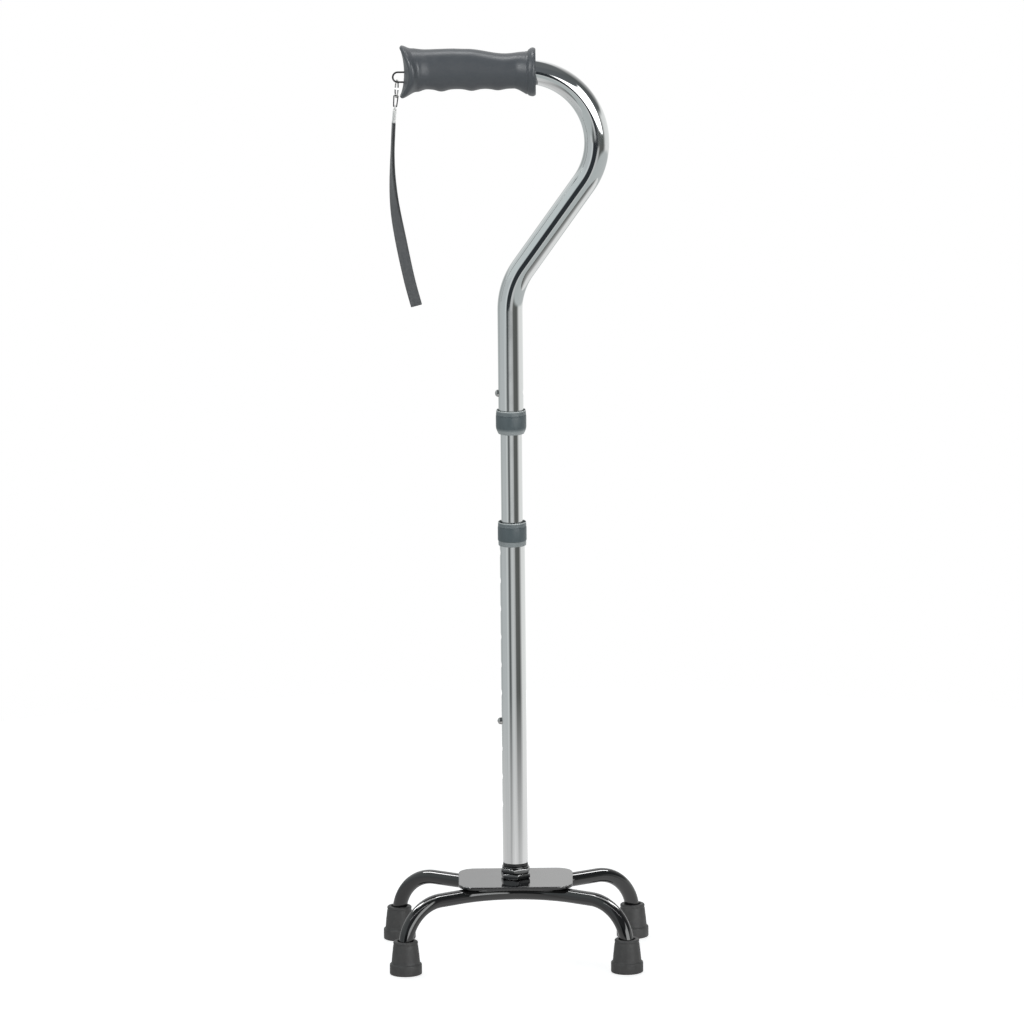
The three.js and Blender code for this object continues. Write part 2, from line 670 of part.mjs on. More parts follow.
// the neck's bend begins inside the grip's mouth, so the mouth is flared
const mouthDepth = 14;
const mouth = new THREE.CylinderGeometry(OUTER_R + GAP, OUTER_R + 1.7, mouthDepth, TUBE_SIDES);
mouth.rotateZ(Math.PI / 2).translate(GRIP_RIGHT + 0.5 - mouthDepth / 2, 0, GRIP_Z);
addPiece('grip', cut(grip, [tubeBore, mouth, ...eyeHoles]), 'grip');

const plugHoles = [1, -1].map((side) =>
  pinX(EYE_WIRE_R + GAP, HANDLE_END_X - 5, EYE_ROOT_X + GAP, EYE_Z + side * EYE_R, 12)
);
const plug = pinX(outerInside - GAP, HANDLE_END_X, EYE_ROOT_X + 8, GRIP_Z, TUBE_SIDES);
addPiece('grip_plug', cut(plug, plugHoles), 'blackPlastic');

// ---------------------------------------------------------------- wrist strap and its fittings

const eyeLine = new BentLine(
  [
    v3(EYE_ROOT_X, 0, EYE_Z + EYE_R),
    v3(EYE_BEND_X - EYE_R, 0, EYE_Z + EYE_R),
    v3(EYE_BEND_X - EYE_R, 0, EYE_Z - EYE_R),
    v3(EYE_ROOT_X, 0, EYE_Z - EYE_R),
  ],
  [EYE_R - 0.05, EYE_R - 0.05],
  22.5
);
addPiece('strap_eye', alongLine(eyeLine, roundSection(EYE_WIRE_R), WIRE_SIDES), 'spring');

// The fittings hang in a line that leans a little, so each is made hanging from the group's
// origin, which is the axis of the split ring where it rests in the eye.
const hang = new THREE.Group();
hang.position.set(EYE_BEND_X - 0.4, 0, EYE_Z - EYE_R + EYE_WIRE_R + GAP + RING_WIRE_R);
hang.rotation.y = HANG_TILT;
cane.add(hang);

const splitRing = new THREE.TorusGeometry(RING_R, RING_WIRE_R, WIRE_SIDES, 24);
addPiece('strap_ring', splitRing.rotateY(Math.PI / 2).translate(0, 0, -RING_R), 'spring', hang);

const linkTop = -2 * RING_R + RING_WIRE_R + GAP + LINK_WIRE_R;
const linkBottom = linkTop - LINK_H;
const linkOutline = new THREE.Shape();
const linkWindow = new THREE.Path();
for (const [path, wire] of [[linkOutline, LINK_WIRE_R], [linkWindow, -LINK_WIRE_R]]) {
  path.moveTo(-LINK_BOTTOM_HALF - wire, linkBottom - wire);
  path.lineTo(LINK_BOTTOM_HALF + wire, linkBottom - wire);
  path.lineTo(LINK_TOP_HALF + wire, linkTop + wire);
  path.lineTo(-LINK_TOP_HALF - wire, linkTop + wire);
  path.closePath();
}
linkOutline.holes.push(linkWindow);
const link = new THREE.ExtrudeGeometry(linkOutline, { depth: 2 * LINK_WIRE_R, bevelEnabled: false });
link.rotateX(Math.PI / 2).translate(0, LINK_WIRE_R, 0);
addPiece('strap_link', link, 'spring', hang);

// the ferrule has a small wire eye round the link's lower bar
const ferruleTop = linkBottom - 2.4;
const ferruleEye = new THREE.TorusGeometry(1.5, 0.4, 6, 16);
ferruleEye.rotateY(Math.PI / 2).translate(0, 0, linkBottom - 0.2);
const ferruleNeck = new THREE.BoxGeometry(1, 2.2, 2);
ferruleNeck.translate(0, 0, ferruleTop + 0.3);
const ferruleBody = new THREE.BoxGeometry(FERRULE.x, FERRULE.y, FERRULE.z);
ferruleBody.translate(0, 0, ferruleTop - FERRULE.z / 2);
const ferruleSolid = join([ferruleBody, ferruleNeck, ferruleEye]);
addPiece('strap_ferrule', ferruleSolid, 'spring', hang);

// The doubled webbing: a bar of two layers that hangs in a gentle curve and turns a quarter
// turn on its way down, so that it is edge-on at the top and shows its face at the bottom.
const strapTop = v3(0, 0, ferruleTop - FERRULE.z - GAP);
strapTop.applyEuler(hang.rotation).add(hang.position);
const strapLine = new THREE.CatmullRomCurve3([
  strapTop,
  ...STRAP_DROPS.map(([out, drop]) => v3(hang.position.x - out, 0, hang.position.z - drop)),
]);
const STRAP_STEPS = 26;
const strap = new THREE.BoxGeometry(STRAP_WIDTH, STRAP_T, 1, 1, 1, STRAP_STEPS);
const strapPoints = strap.attributes.position;
for (let i = 0; i < strapPoints.count; i++) {
  const t = strapPoints.getZ(i) + 0.5;
  const middle = strapLine.getPointAt(t);
  const along = strapLine.getTangentAt(t);
  const quarter = (-Math.PI / 2) * THREE.MathUtils.smoothstep(t, 0.1, 0.85);
  const across = v3(0, 1, 0).applyAxisAngle(along, quarter);
  const through = along.clone().cross(across);
  middle.addScaledVector(across, strapPoints.getX(i));
  middle.addScaledVector(through, strapPoints.getY(i));
  strapPoints.setXYZ(i, middle.x, middle.y, middle.z);
}
addPiece('wrist_strap', strap, 'webbing');

export default cane;
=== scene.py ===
# %% [markdown]
# # A quad walking cane
# This lesson builds the looks of an adjustable walking cane: four rubber feet on two bent legs,
# a plate, a telescoping shaft of three polished tubes held by snap buttons and lock rings, a
# swan neck with a moulded grip, and a wrist strap. The shapes that matter to motion come from a
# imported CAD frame. Each piece here is a finer copy of one CAD piece and rides on its body.

import math

import bmesh
import bpy
from mathutils import Matrix, Vector


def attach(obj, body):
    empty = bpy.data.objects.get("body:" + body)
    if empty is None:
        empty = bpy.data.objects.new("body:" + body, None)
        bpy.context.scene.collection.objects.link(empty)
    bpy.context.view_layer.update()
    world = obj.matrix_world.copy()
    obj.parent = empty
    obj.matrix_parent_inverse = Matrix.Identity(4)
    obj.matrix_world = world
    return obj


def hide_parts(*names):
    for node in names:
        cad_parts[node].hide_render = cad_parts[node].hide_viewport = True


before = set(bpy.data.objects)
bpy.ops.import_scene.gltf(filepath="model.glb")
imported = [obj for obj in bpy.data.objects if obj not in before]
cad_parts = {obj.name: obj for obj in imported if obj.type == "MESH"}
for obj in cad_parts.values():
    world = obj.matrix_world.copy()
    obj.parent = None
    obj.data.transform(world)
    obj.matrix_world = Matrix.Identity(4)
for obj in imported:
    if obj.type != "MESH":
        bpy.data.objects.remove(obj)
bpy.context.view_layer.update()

# %% [markdown]
# ## Helpers for shaping
# Everything is sized in millimetres and scaled to metres once. Most pieces of a cane are turned
# on a lathe or are tube that was bent, so two helpers do nearly all the work: one spins a
# profile about the shaft's axis, and the other pulls a ring of edges along straight runs and
# spins it round the bends.

# %% Spin a profile
MM = 0.001
FULL_TURN = 2 * math.pi


def turned(profile, steps=96, closed=False):
    """A profile of (radius, height) points in mm, spun about the Z axis."""
    bm = bmesh.new()
    points = [bm.verts.new((radius * MM, 0, height * MM)) for radius, height in profile]
    pairs = list(zip(points, points[1:]))
    if closed:
        pairs.append((points[-1], points[0]))
    edges = [bm.edges.new(pair) for pair in pairs]
    bmesh.ops.spin(
        bm, geom=points + edges, cent=(0, 0, 0), axis=(0, 0, 1),
        angle=FULL_TURN, steps=steps, use_merge=True,
    )
    bmesh.ops.remove_doubles(bm, verts=bm.verts, dist=1e-7)
    bmesh.ops.recalc_face_normals(bm, faces=bm.faces)
    return bm


# %% Pull a ring round bends
def pull(bm, ring, step):
    """Extrudes a ring of edges by a straight step and gives back the new ring."""
    made = bmesh.ops.extrude_edge_only(bm, edges=ring)["geom"]
    corners = [item for item in made if isinstance(item, bmesh.types.BMVert)]
    bmesh.ops.translate(bm, verts=corners, vec=step)
    return [item for item in made if isinstance(item, bmesh.types.BMEdge)]


def pulled_along(corners, radii, radius, sides=64, degrees_per_step=2.5):
    """A round skin along straight runs that are joined by round bends. Its ends are open."""
    bm = bmesh.new()
    corners = [Vector(corner) * MM for corner in corners]
    heading = (corners[1] - corners[0]).normalized()
    place = Matrix.Translation(corners[0]) @ heading.to_track_quat("Z", "Y").to_matrix().to_4x4()
    bmesh.ops.create_circle(bm, segments=sides, radius=radius * MM, matrix=place)
    ring = list(bm.edges)
    at = corners[0]
    for corner, following, bend in zip(corners[1:], corners[2:], radii):
        onward = (following - corner).normalized()
        turn = heading.angle(onward)
        axis = heading.cross(onward).normalized()
        bend *= MM
        start = corner - heading * bend * math.tan(turn / 2)
        ring = pull(bm, ring, start - at)
        centre = start - heading.cross(axis) * bend
        steps = math.ceil(math.degrees(turn) / degrees_per_step)
        spun = bmesh.ops.spin(
            bm, geom=ring, cent=centre, axis=axis, angle=turn, steps=steps, use_merge=False
        )["geom_last"]
        ring = [item for item in spun if isinstance(item, bmesh.types.BMEdge)]
        at = corner + onward * bend * math.tan(turn / 2)
        heading = onward
    pull(bm, ring, corners[-1] - at)
    return bm


def bent_tube(corners, radii, radius, wall, sides=64):
    """A tube with a wall: an outer skin whose faces point out, thickened inwards."""
    bm = pulled_along(corners, radii, radius, sides)
    bmesh.ops.recalc_face_normals(bm, faces=bm.faces)
    bmesh.ops.solidify(bm, geom=list(bm.faces), thickness=wall * MM)
    print("tube volume, cm3:", round(bm.calc_volume(signed=True) * 1e6, 2))
    return bm


# %% [markdown]
# ## Helpers for free shapes, drilling and edges
# A moulded grip or a twisted strap isn't turned or bent tube. For those a flat grid is wrapped:
# a function says where each point of the grid goes, and the seam is merged. Drilled holes are
# booleans. No real edge is perfectly sharp, so edges get a small bevel that catches the light.

# %% Wrap a grid, cut with a tool, and soften edges
def wrapped(around, along, place):
    """A grid of around x along faces, moved by place(u, v) and merged where it meets itself."""
    bm = bmesh.new()
    bmesh.ops.create_grid(bm, x_segments=around, y_segments=along, size=0.5)
    for vert in bm.verts:
        vert.co = place(vert.co.x + 0.5, vert.co.y + 0.5)
    bmesh.ops.remove_doubles(bm, verts=bm.verts, dist=1e-6)
    open_edges = [edge for edge in bm.edges if edge.is_boundary]
    bmesh.ops.holes_fill(bm, edges=open_edges, sides=0)
    bmesh.ops.recalc_face_normals(bm, faces=bm.faces)
    return bm


def cut_with(bm, tool, how="DIFFERENCE"):
    """An exact boolean between two closed shapes. Both are used up, and the result is new."""
    pair = []
    for shape in (bm, tool):
        mesh = bpy.data.meshes.new("blank")
        bmesh.ops.recalc_face_normals(shape, faces=shape.faces)
        shape.to_mesh(mesh)
        shape.free()
        blank = bpy.data.objects.new("blank", mesh)
        bpy.context.scene.collection.objects.link(blank)
        pair.append(blank)
    boolean = pair[0].modifiers.new("Cut", "BOOLEAN")
    boolean.operation = how
    boolean.solver = "EXACT"
    boolean.object = pair[1]
    result = bmesh.new()
    result.from_object(pair[0], bpy.context.evaluated_depsgraph_get())
    for blank in pair:
        mesh = blank.data
        bpy.data.objects.remove(blank)
        bpy.data.meshes.remove(mesh)
    return result


def soften(bm, width, segments=2, above=40):
    """Bevels every edge that turns by more than a number of degrees."""
    limit = math.radians(above)
    sharp = [e for e in bm.edges if len(e.link_faces) == 2 and e.calc_face_angle() > limit]
    bmesh.ops.bevel(
        bm, geom=sharp, offset=width * MM, offset_type="OFFSET", segments=segments,
        profile=0.5, affect="EDGES", clamp_overlap=True, material=-1,
    )
    return bm


def drills(holes, steps=48):
    """Round bars along X, as (radius, from x, to x, y, z) in mm, to cut holes with."""
    bm = bmesh.new()
    for radius, start, end, y, z in holes:
        place = Matrix.Translation(Vector(((start + end) / 2, y, z)) * MM)
        bmesh.ops.create_cone(
            bm, cap_ends=True, segments=steps, radius1=radius * MM, radius2=radius * MM,
            depth=abs(end - start) * MM, matrix=place @ Matrix.Rotation(math.pi / 2, 4, "Y"),
        )
    return bm


# %% [markdown]
# ## From a shape to a finished piece
# A piece is smooth shaded, with its real edges marked sharp, and it gets one material. Then it
# is tied to the frame: it rides on a CAD body and stands for a CAD node.

# %% Finish a piece
made_pieces = []


def finish_piece(bm, name, material, body, slot, *nodes, sharp=32):
    """Turns a shape into an object that rides on a body and replaces CAD nodes."""
    bmesh.ops.remove_doubles(bm, verts=bm.verts, dist=2e-7)
    bmesh.ops.recalc_face_normals(bm, faces=bm.faces)
    limit = math.radians(sharp)
    for face in bm.faces:
        face.smooth = True
    for edge in bm.edges:
        edge.smooth = len(edge.link_faces) == 2 and edge.calc_face_angle() < limit
    open_edges = sum(not edge.is_manifold for edge in bm.edges)
    mesh = bpy.data.meshes.new(name)
    bm.to_mesh(mesh)
    bm.free()
    mesh.materials.append(material)
    piece = bpy.data.objects.new(name, mesh)
    bpy.context.scene.collection.objects.link(piece)
    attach(piece, body)
    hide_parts(*(nodes or (name.removesuffix("_look"),)))
    made_pieces.append(piece)
    size = tuple(round(side / MM, 1) for side in piece.dimensions)
    print(f"{name}: {size} mm, {len(mesh.polygons)} faces, open edges {open_edges}, on {body}")
    return piece


# %% [markdown]
# ## Helpers for materials
# A material is a small tree of nodes. A few helpers keep the trees short. One adds a node with
# its settings. Others make one sum, a colour ramp, a mix of two colours, or a share between two
# limits. The last ones make a group with named sockets, so that several materials can use the
# same effect with different values.

# %% Node helpers
def add(tree, kind, inputs=None, **settings):
    """A node with its properties and its input sockets set. A socket value may be a link."""
    made = tree.nodes.new(kind)
    for key, value in settings.items():
        setattr(made, key, value)
    for key, value in (inputs or {}).items():
        if isinstance(value, bpy.types.NodeSocket):
            tree.links.new(value, made.inputs[key])
        else:
            made.inputs[key].default_value = value
    return made


def math_node(tree, operation, first, second=0.0, third=0.0):
    """One sum. Each value is a number or a socket."""
    return add(
        tree, "ShaderNodeMath", {0: first, 1: second, 2: third}, operation=operation
    ).outputs[0]


def share_between(tree, value, low, high, soft=False):
    """0 at the low end of a range, 1 at its high end, and clamped past both."""
    return add(
        tree, "ShaderNodeMapRange", {"Value": value, "From Min": low, "From Max": high},
        interpolation_type="SMOOTHSTEP" if soft else "LINEAR",
    ).outputs["Result"]


def ramp(tree, factor, stops):
    """A colour ramp from (position, grey or colour) pairs."""
    made = add(tree, "ShaderNodeValToRGB", {"Fac": factor})
    elements = made.color_ramp.elements
    while len(elements) < len(stops):
        elements.new(0.5)
    for element, (position, colour) in zip(elements, stops):
        element.position = position
        shade = colour if isinstance(colour, tuple) else (colour,) * 3
        element.color = (*shade, 1)
    return made.outputs["Color"]


def mixed(tree, factor, first, second):
    """Two colours mixed by a factor."""
    made = add(tree, "ShaderNodeMix", {"Factor": factor}, data_type="RGBA")
    for index, value in ((6, first), (7, second)):
        if isinstance(value, bpy.types.NodeSocket):
            tree.links.new(value, made.inputs[index])
        else:
            made.inputs[index].default_value = (*value, 1)
    return made.outputs[2]


def new_group(name, inputs, outputs):
    """A shader node group with named sockets. Inputs are {name: (kind, default)}."""
    tree = bpy.data.node_groups.new(name, "ShaderNodeTree")
    for socket, (kind, default) in inputs.items():
        made = tree.interface.new_socket(socket, in_out="INPUT", socket_type=kind)
        made.default_value = default
    for socket, kind in outputs.items():
        tree.interface.new_socket(socket, in_out="OUTPUT", socket_type=kind)
    return tree, add(tree, "NodeGroupInput"), add(tree, "NodeGroupOutput")


def placed_group(tree, group, **values):
    """An instance of a group in a material, with its inputs set by name."""
    made = tree.nodes.new("ShaderNodeGroup")
    made.node_tree = group
    for key, value in values.items():
        socket = made.inputs[key.replace("_", " ")]
        if isinstance(value, bpy.types.NodeSocket):
            tree.links.new(value, socket)
        else:
            socket.default_value = value
    return made


def new_material(name, **principled):
    """A material with its Principled shader's own sockets set."""
    material = bpy.data.materials.new(name)
    material.use_nodes = True
    shader = material.node_tree.nodes["Principled BSDF"]
    for key, value in principled.items():
        socket = shader.inputs[key.replace("_", " ")]
        socket.default_value = (*value, 1) if isinstance(value, tuple) else value
    return material, material.node_tree, shader


# %% [markdown]
# ## Shared surface effects
# Four effects turn up on several finishes. Grain is the fine bump of moulded or painted skin.
# Handling marks are soft smudges that change the gloss. Drawn lines are the faint streaks that
# a die leaves along metal. Dust is pale and gathers in patches. Each is a group that reads the
# piece's Object coordinates, so it stays put when the piece moves.

# %% Grain, handling marks, drawn lines and dust
FLOAT = "NodeSocketFloat"
COLOUR = "NodeSocketColor"


def noise(tree, size_mm, stretch=None, **settings):
    """Noise on the piece's Object coordinates. The size of its blobs is in mm."""
    where = add(tree, "ShaderNodeTexCoord").outputs["Object"]
    if stretch:
        where = add(
            tree, "ShaderNodeVectorMath", {0: where, 1: stretch}, operation="MULTIPLY"
        ).outputs[0]
    per_metre = math_node(tree, "DIVIDE", 1 / MM, size_mm)
    inputs = {"Vector": where, "Scale": per_metre, **settings}
    return add(tree, "ShaderNodeTexNoise", inputs).outputs["Fac"]


BROAD_OVER_FINE = 1 / 0.06
grain_group, gin, gout = new_group(
    "Grain", {"Size mm": (FLOAT, 0.4), "Unevenness": (FLOAT, 0.5)}, {"Height": FLOAT}
)
fine = noise(grain_group, gin.outputs["Size mm"], Detail=3.0)
broad_size = math_node(grain_group, "MULTIPLY", gin.outputs["Size mm"], BROAD_OVER_FINE)
broad = noise(grain_group, broad_size, Detail=1.0)
broad = math_node(grain_group, "MULTIPLY", broad, gin.outputs["Unevenness"])
grain_group.links.new(math_node(grain_group, "ADD", fine, broad), gout.inputs["Height"])

marks_group, gin, gout = new_group(
    "Handling marks",
    {"Clean": (FLOAT, 0.1), "Smudged": (FLOAT, 0.25), "Patch size mm": (FLOAT, 30.0)},
    {"Roughness": FLOAT},
)
patches = noise(
    marks_group, gin.outputs["Patch size mm"], Detail=5.0, Roughness=0.62, Distortion=0.6
)
spread = add(marks_group, "ShaderNodeMapRange", {
    "Value": share_between(marks_group, patches, 0.42, 0.72),
    "To Min": gin.outputs["Clean"], "To Max": gin.outputs["Smudged"],
}).outputs["Result"]
marks_group.links.new(spread, gout.inputs["Roughness"])

ALONG_THE_DRAW = (1.0, 1.0, 0.012)
lines_group, gin, gout = new_group(
    "Drawn lines", {"Spacing mm": (FLOAT, 0.5)}, {"Height": FLOAT, "Mask": FLOAT}
)
streaks = noise(lines_group, gin.outputs["Spacing mm"], stretch=ALONG_THE_DRAW, Detail=2.0)
lines_group.links.new(streaks, gout.inputs["Height"])
lines_group.links.new(share_between(lines_group, streaks, 0.5, 0.7), gout.inputs["Mask"])

DUST_COLOUR = (0.36, 0.35, 0.33)
dust_group, gin, gout = new_group(
    "Dust",
    {"Amount": (FLOAT, 0.2), "Patch size mm": (FLOAT, 8.0), "Surface": (COLOUR, (0, 0, 0, 1))},
    {"Color": COLOUR, "Mask": FLOAT},
)
patches = noise(dust_group, gin.outputs["Patch size mm"], Detail=6.0, Roughness=0.7)
patches = share_between(dust_group, patches, 0.4, 0.75)
mask = math_node(dust_group, "MULTIPLY", patches, gin.outputs["Amount"])
dusty = mixed(dust_group, mask, gin.outputs["Surface"], DUST_COLOUR)
dust_group.links.new(dusty, gout.inputs["Color"])
dust_group.links.new(mask, gout.inputs["Mask"])
print("groups:", [g.name for g in (grain_group, marks_group, lines_group, dust_group)])

# %% [markdown]
# ## The cane's finishes
# The tubes are aluminium, polished and clear anodised: a bright metal with a cool cast, faint
# drawn lines and smudges. The base is steel under gloss black paint: nearly black, with a high
# index of refraction that makes its reflections strong. The rings are hard plastic, the grip is
# soft vinyl with a fine grain, the tips are rubber, and the small fittings are plated.

# %% Metal finishes
def bump(tree, shader, height, distance_mm, strength=1.0):
    """Feeds a height to the shader's normal."""
    made = add(
        tree, "ShaderNodeBump",
        {"Height": height, "Distance": distance_mm * MM, "Strength": strength},
    )
    tree.links.new(made.outputs["Normal"], shader.inputs["Normal"])


def metal(name, colour, clean, smudged, spacing=0.5, depth=0.004):
    """A polished or plated metal: drawn lines in its bump, smudges in its roughness."""
    material, tree, shader = new_material(name, Metallic=1.0)
    marks = placed_group(tree, marks_group, Clean=clean, Smudged=smudged, Patch_size_mm=26.0)
    tree.links.new(marks.outputs["Roughness"], shader.inputs["Roughness"])
    streaks = placed_group(tree, lines_group, Spacing_mm=spacing)
    darker = tuple(0.9 * c for c in colour)
    share = math_node(tree, "MULTIPLY", streaks.outputs["Mask"], 0.5)
    tree.links.new(mixed(tree, share, colour, darker), shader.inputs["Base Color"])
    bump(tree, shader, streaks.outputs["Height"], depth)
    return material


tube_metal = metal("Polished tube", (0.815, 0.825, 0.825), 0.03, 0.08, depth=0.0009)
plated = metal("Plated hardware", (0.52, 0.52, 0.51), 0.07, 0.16, spacing=0.3, depth=0.001)
satin = metal("Satin plating", (0.74, 0.74, 0.73), 0.5, 0.6, spacing=0.3, depth=0.0005)
dark_plated = metal("Dark plating", (0.10, 0.10, 0.10), 0.07, 0.16, spacing=0.3, depth=0.001)
spring_steel = metal("Spring steel", (0.42, 0.42, 0.42), 0.25, 0.4, spacing=0.2)


# %% Paint, plastic, rubber
def coated(name, colour, clean, smudged, grain_mm, grain_depth, dust=0.0, **extra):
    """Paint or plastic: a plain colour with dust, smudges in the gloss and a fine grain."""
    material, tree, shader = new_material(name, **extra)
    film = placed_group(tree, dust_group, Amount=dust, Surface=(*colour, 1.0), Patch_size_mm=5.0)
    tree.links.new(film.outputs["Color"], shader.inputs["Base Color"])
    marks = placed_group(tree, marks_group, Clean=clean, Smudged=smudged, Patch_size_mm=22.0)
    rough = math_node(tree, "MULTIPLY_ADD", film.outputs["Mask"], 0.4, marks.outputs["Roughness"])
    tree.links.new(rough, shader.inputs["Roughness"])
    skin = placed_group(tree, grain_group, Size_mm=grain_mm, Unevenness=1.2)
    bump(tree, shader, skin.outputs["Height"], grain_depth)
    return material


gloss_black = coated(
    "Gloss black paint", (0.005, 0.005, 0.0055), 0.035, 0.09, 2.6, 0.010, dust=0.006,
    IOR=1.65, Specular_IOR_Level=0.6,
)
black_steel = coated(
    "Blacked steel", (0.006, 0.006, 0.0065), 0.07, 0.16, 1.2, 0.006, dust=0.01,
    IOR=1.9, Specular_IOR_Level=0.7,
)
ring_plastic = coated(
    "Ring plastic", (0.080, 0.100, 0.108), 0.34, 0.42, 1.6, 0.003, dust=0.01,
    Specular_IOR_Level=0.35,
)
# A ring's rims get painted highlights: their colour is made paler. How pale each point is comes
# from an attribute kept on it.
RIM_HIGHLIGHT = (0.42, 0.45, 0.45)
tree = ring_plastic.node_tree
base_colour = tree.nodes["Principled BSDF"].inputs["Base Color"]
rubbed = add(tree, "ShaderNodeAttribute", attribute_name="rim").outputs["Fac"]
under = base_colour.links[0].from_socket
tree.links.new(mixed(tree, rubbed, under, RIM_HIGHLIGHT), base_colour)
black_plastic = coated("Bush plastic", (0.014, 0.014, 0.015), 0.4, 0.5, 0.5, 0.006)
grip_vinyl = coated(
    "Grip vinyl", (0.052, 0.058, 0.066), 0.36, 0.46, 0.5, 0.012, dust=0.03,
    Specular_IOR_Level=0.6,
)
tip_rubber = coated("Tip rubber", (0.036, 0.036, 0.036), 0.5, 0.68, 0.7, 0.02, dust=0.05)
print("materials:", len(bpy.data.materials))

# %% [markdown]
# ## The base: two bent legs
# Each leg is one tube. It rises from a foot, bends to level, runs in a shallow arc past the
# stem, and drops to the other foot. It could be a curve with a bevel, but pulling and spinning
# a ring gives clean straight runs and true bends, as a tube bender does.

# %% Legs
LEG_R, LEG_WALL, LEG_Z = 6.35, 1.5, 61.0
LEG_OFFSET, LEG_OVERSHOOT, LEG_DROP_R = 17.0, 2.4, 38.0
FOOT_Y = 67.0
LEG_END_Z = 7.8
ROWS = {"front": (98.0, -1), "rear": (104.5, 1)}
plan_radius = {}

for row, (foot_x, side) in ROWS.items():
    slope = math.atan2(FOOT_Y + LEG_OVERSHOOT, foot_x)
    plan_radius[row] = (LEG_OFFSET + LEG_OVERSHOOT) / (1 / math.cos(slope) - 1)
    corners = [
        (-foot_x, side * FOOT_Y, LEG_END_Z),
        (-foot_x, side * FOOT_Y, LEG_Z),
        (0, -side * LEG_OVERSHOOT, LEG_Z),
        (foot_x, side * FOOT_Y, LEG_Z),
        (foot_x, side * FOOT_Y, LEG_END_Z),
    ]
    bends = [LEG_DROP_R, plan_radius[row], LEG_DROP_R]
    leg = bent_tube(corners, bends, LEG_R, LEG_WALL)
    soften(leg, 0.3, above=60)
    finish_piece(leg, f"{row}_leg_look", gloss_black, "base", "black_paint", sharp=15)

# %% [markdown]
# ## The plate
# The plate is sheet steel with rounded corners, cut and then painted. A cube scaled to size has
# its four upright edges bevelled to the corner radius, and then its rims, which paint rounds.
# Weighted normals keep the flat faces flat in the reflections, right up to the rounded rims.

# %% Plate
PLATE_X, PLATE_Y, PLATE_T, PLATE_CORNER_R = 101.6, 75.0, 3.0, 15.0
PLATE_BOTTOM = 67.65
PLATE_TOP = PLATE_BOTTOM + PLATE_T
STUD_HOLE_R = 5.3
PUNCH_FROM, PUNCH_TO = 60, 78

plate = bmesh.new()
bmesh.ops.create_cube(plate, size=MM)
bmesh.ops.scale(plate, verts=plate.verts, vec=(PLATE_X, PLATE_Y, PLATE_T))
middle = Vector((0, 0, (PLATE_BOTTOM + PLATE_TOP) / 2)) * MM
bmesh.ops.translate(plate, verts=plate.verts, vec=middle)
upright = [e for e in plate.edges if abs(e.verts[0].co.z - e.verts[1].co.z) > MM]
bmesh.ops.bevel(
    plate, geom=upright, offset=PLATE_CORNER_R * MM, offset_type="OFFSET", segments=20,
    profile=0.5, affect="EDGES", clamp_overlap=True, material=-1,
)
soften(plate, 1.0, segments=5, above=60)
punch = turned([
    (0, PUNCH_FROM), (STUD_HOLE_R, PUNCH_FROM), (STUD_HOLE_R, PUNCH_TO), (0, PUNCH_TO)
])
plate = cut_with(plate, punch)
plate_piece = finish_piece(plate, "base_plate_look", gloss_black, "base", "black_paint", sharp=60)
flat_faces = plate_piece.modifiers.new("Flat faces stay flat", "WEIGHTED_NORMAL")
flat_faces.weight = 100
flat_faces.keep_sharp = True

# %% [markdown]
# ## Weld beads
# A bead of weld joins each leg to the plate. A weld is laid in short overlapping puddles, so
# the bead's radius rises and falls along its arc, and its ends taper. A wrapped grid does that
# with one line of arithmetic.

# %% Welds
WELD_R, WELD_GAP = 1.6, 0.3
WELD_SPREAD = math.radians(25)
PUDDLES = 22
weld_drop = LEG_R - WELD_R
weld_out = math.sqrt((LEG_R + WELD_GAP + WELD_R) ** 2 - weld_drop**2)

for row, (foot_x, side) in ROWS.items():
    weld_arc_r = plan_radius[row] - weld_out

    def bead(u, v, side=side, arc_r=weld_arc_r, centre_y=LEG_OFFSET + plan_radius[row]):
        angle = (2 * v - 1) * WELD_SPREAD
        ripple = 0.9 + 0.1 * abs(math.sin(PUDDLES * math.pi * v))
        taper = min(1.0, 9 * v, 9 * (1 - v)) ** 0.5
        radius = WELD_R * ripple * max(taper, 0.02)
        out = arc_r + radius * math.cos(FULL_TURN * u)
        up = LEG_Z + weld_drop + radius * math.sin(FULL_TURN * u)
        return Vector((out * math.sin(angle), side * (centre_y - out * math.cos(angle)), up)) * MM

    finish_piece(wrapped(16, 240, bead), f"{row}_weld_look", gloss_black, "base", "black_paint",
                 sharp=80)

# %% [markdown]
# ## Rubber tips
# A tip is moulded rubber: a wide foot with a lip, a step, a long cone, and a neck that grips
# the tube. The sole has rings moulded in it for grip. Its mouth widens a little, because the
# leg's bend starts inside it. All of that is one profile, spun. A thin steel disc inside stops
# the tube from cutting through.

# %% Tips and discs
TIP_PROFILE = [
    (0, 0.9), (2.2, 0.9), (2.6, 0.1), (4.6, 0.1), (5.0, 0.9), (6.6, 0.9), (7.0, 0.1),
    (9.0, 0.1), (9.4, 0.9), (11.0, 0.9), (11.4, 0), (13.5, 0), (14.1, 0.3), (14.3, 0.9),
    (14.3, 8.5), (14.15, 9.2), (13.7, 9.6), (13.0, 9.75), (12.75, 10.2), (12.5, 12.5),
    (12.0, 18), (11.4, 23), (11.05, 26.0), (10.75, 26.7), (10.7, 27.3), (10.9, 27.9),
    (10.95, 28.7), (10.75, 29.4), (10.2, 29.85), (9.2, 30.0), (7.7, 29.9), (7.45, 29.6),
    (6.65, 23), (6.65, 6), (0, 6),
]
DISC_R, DISC_BOTTOM, DISC_TOP = 6.25, 6.3, 7.5

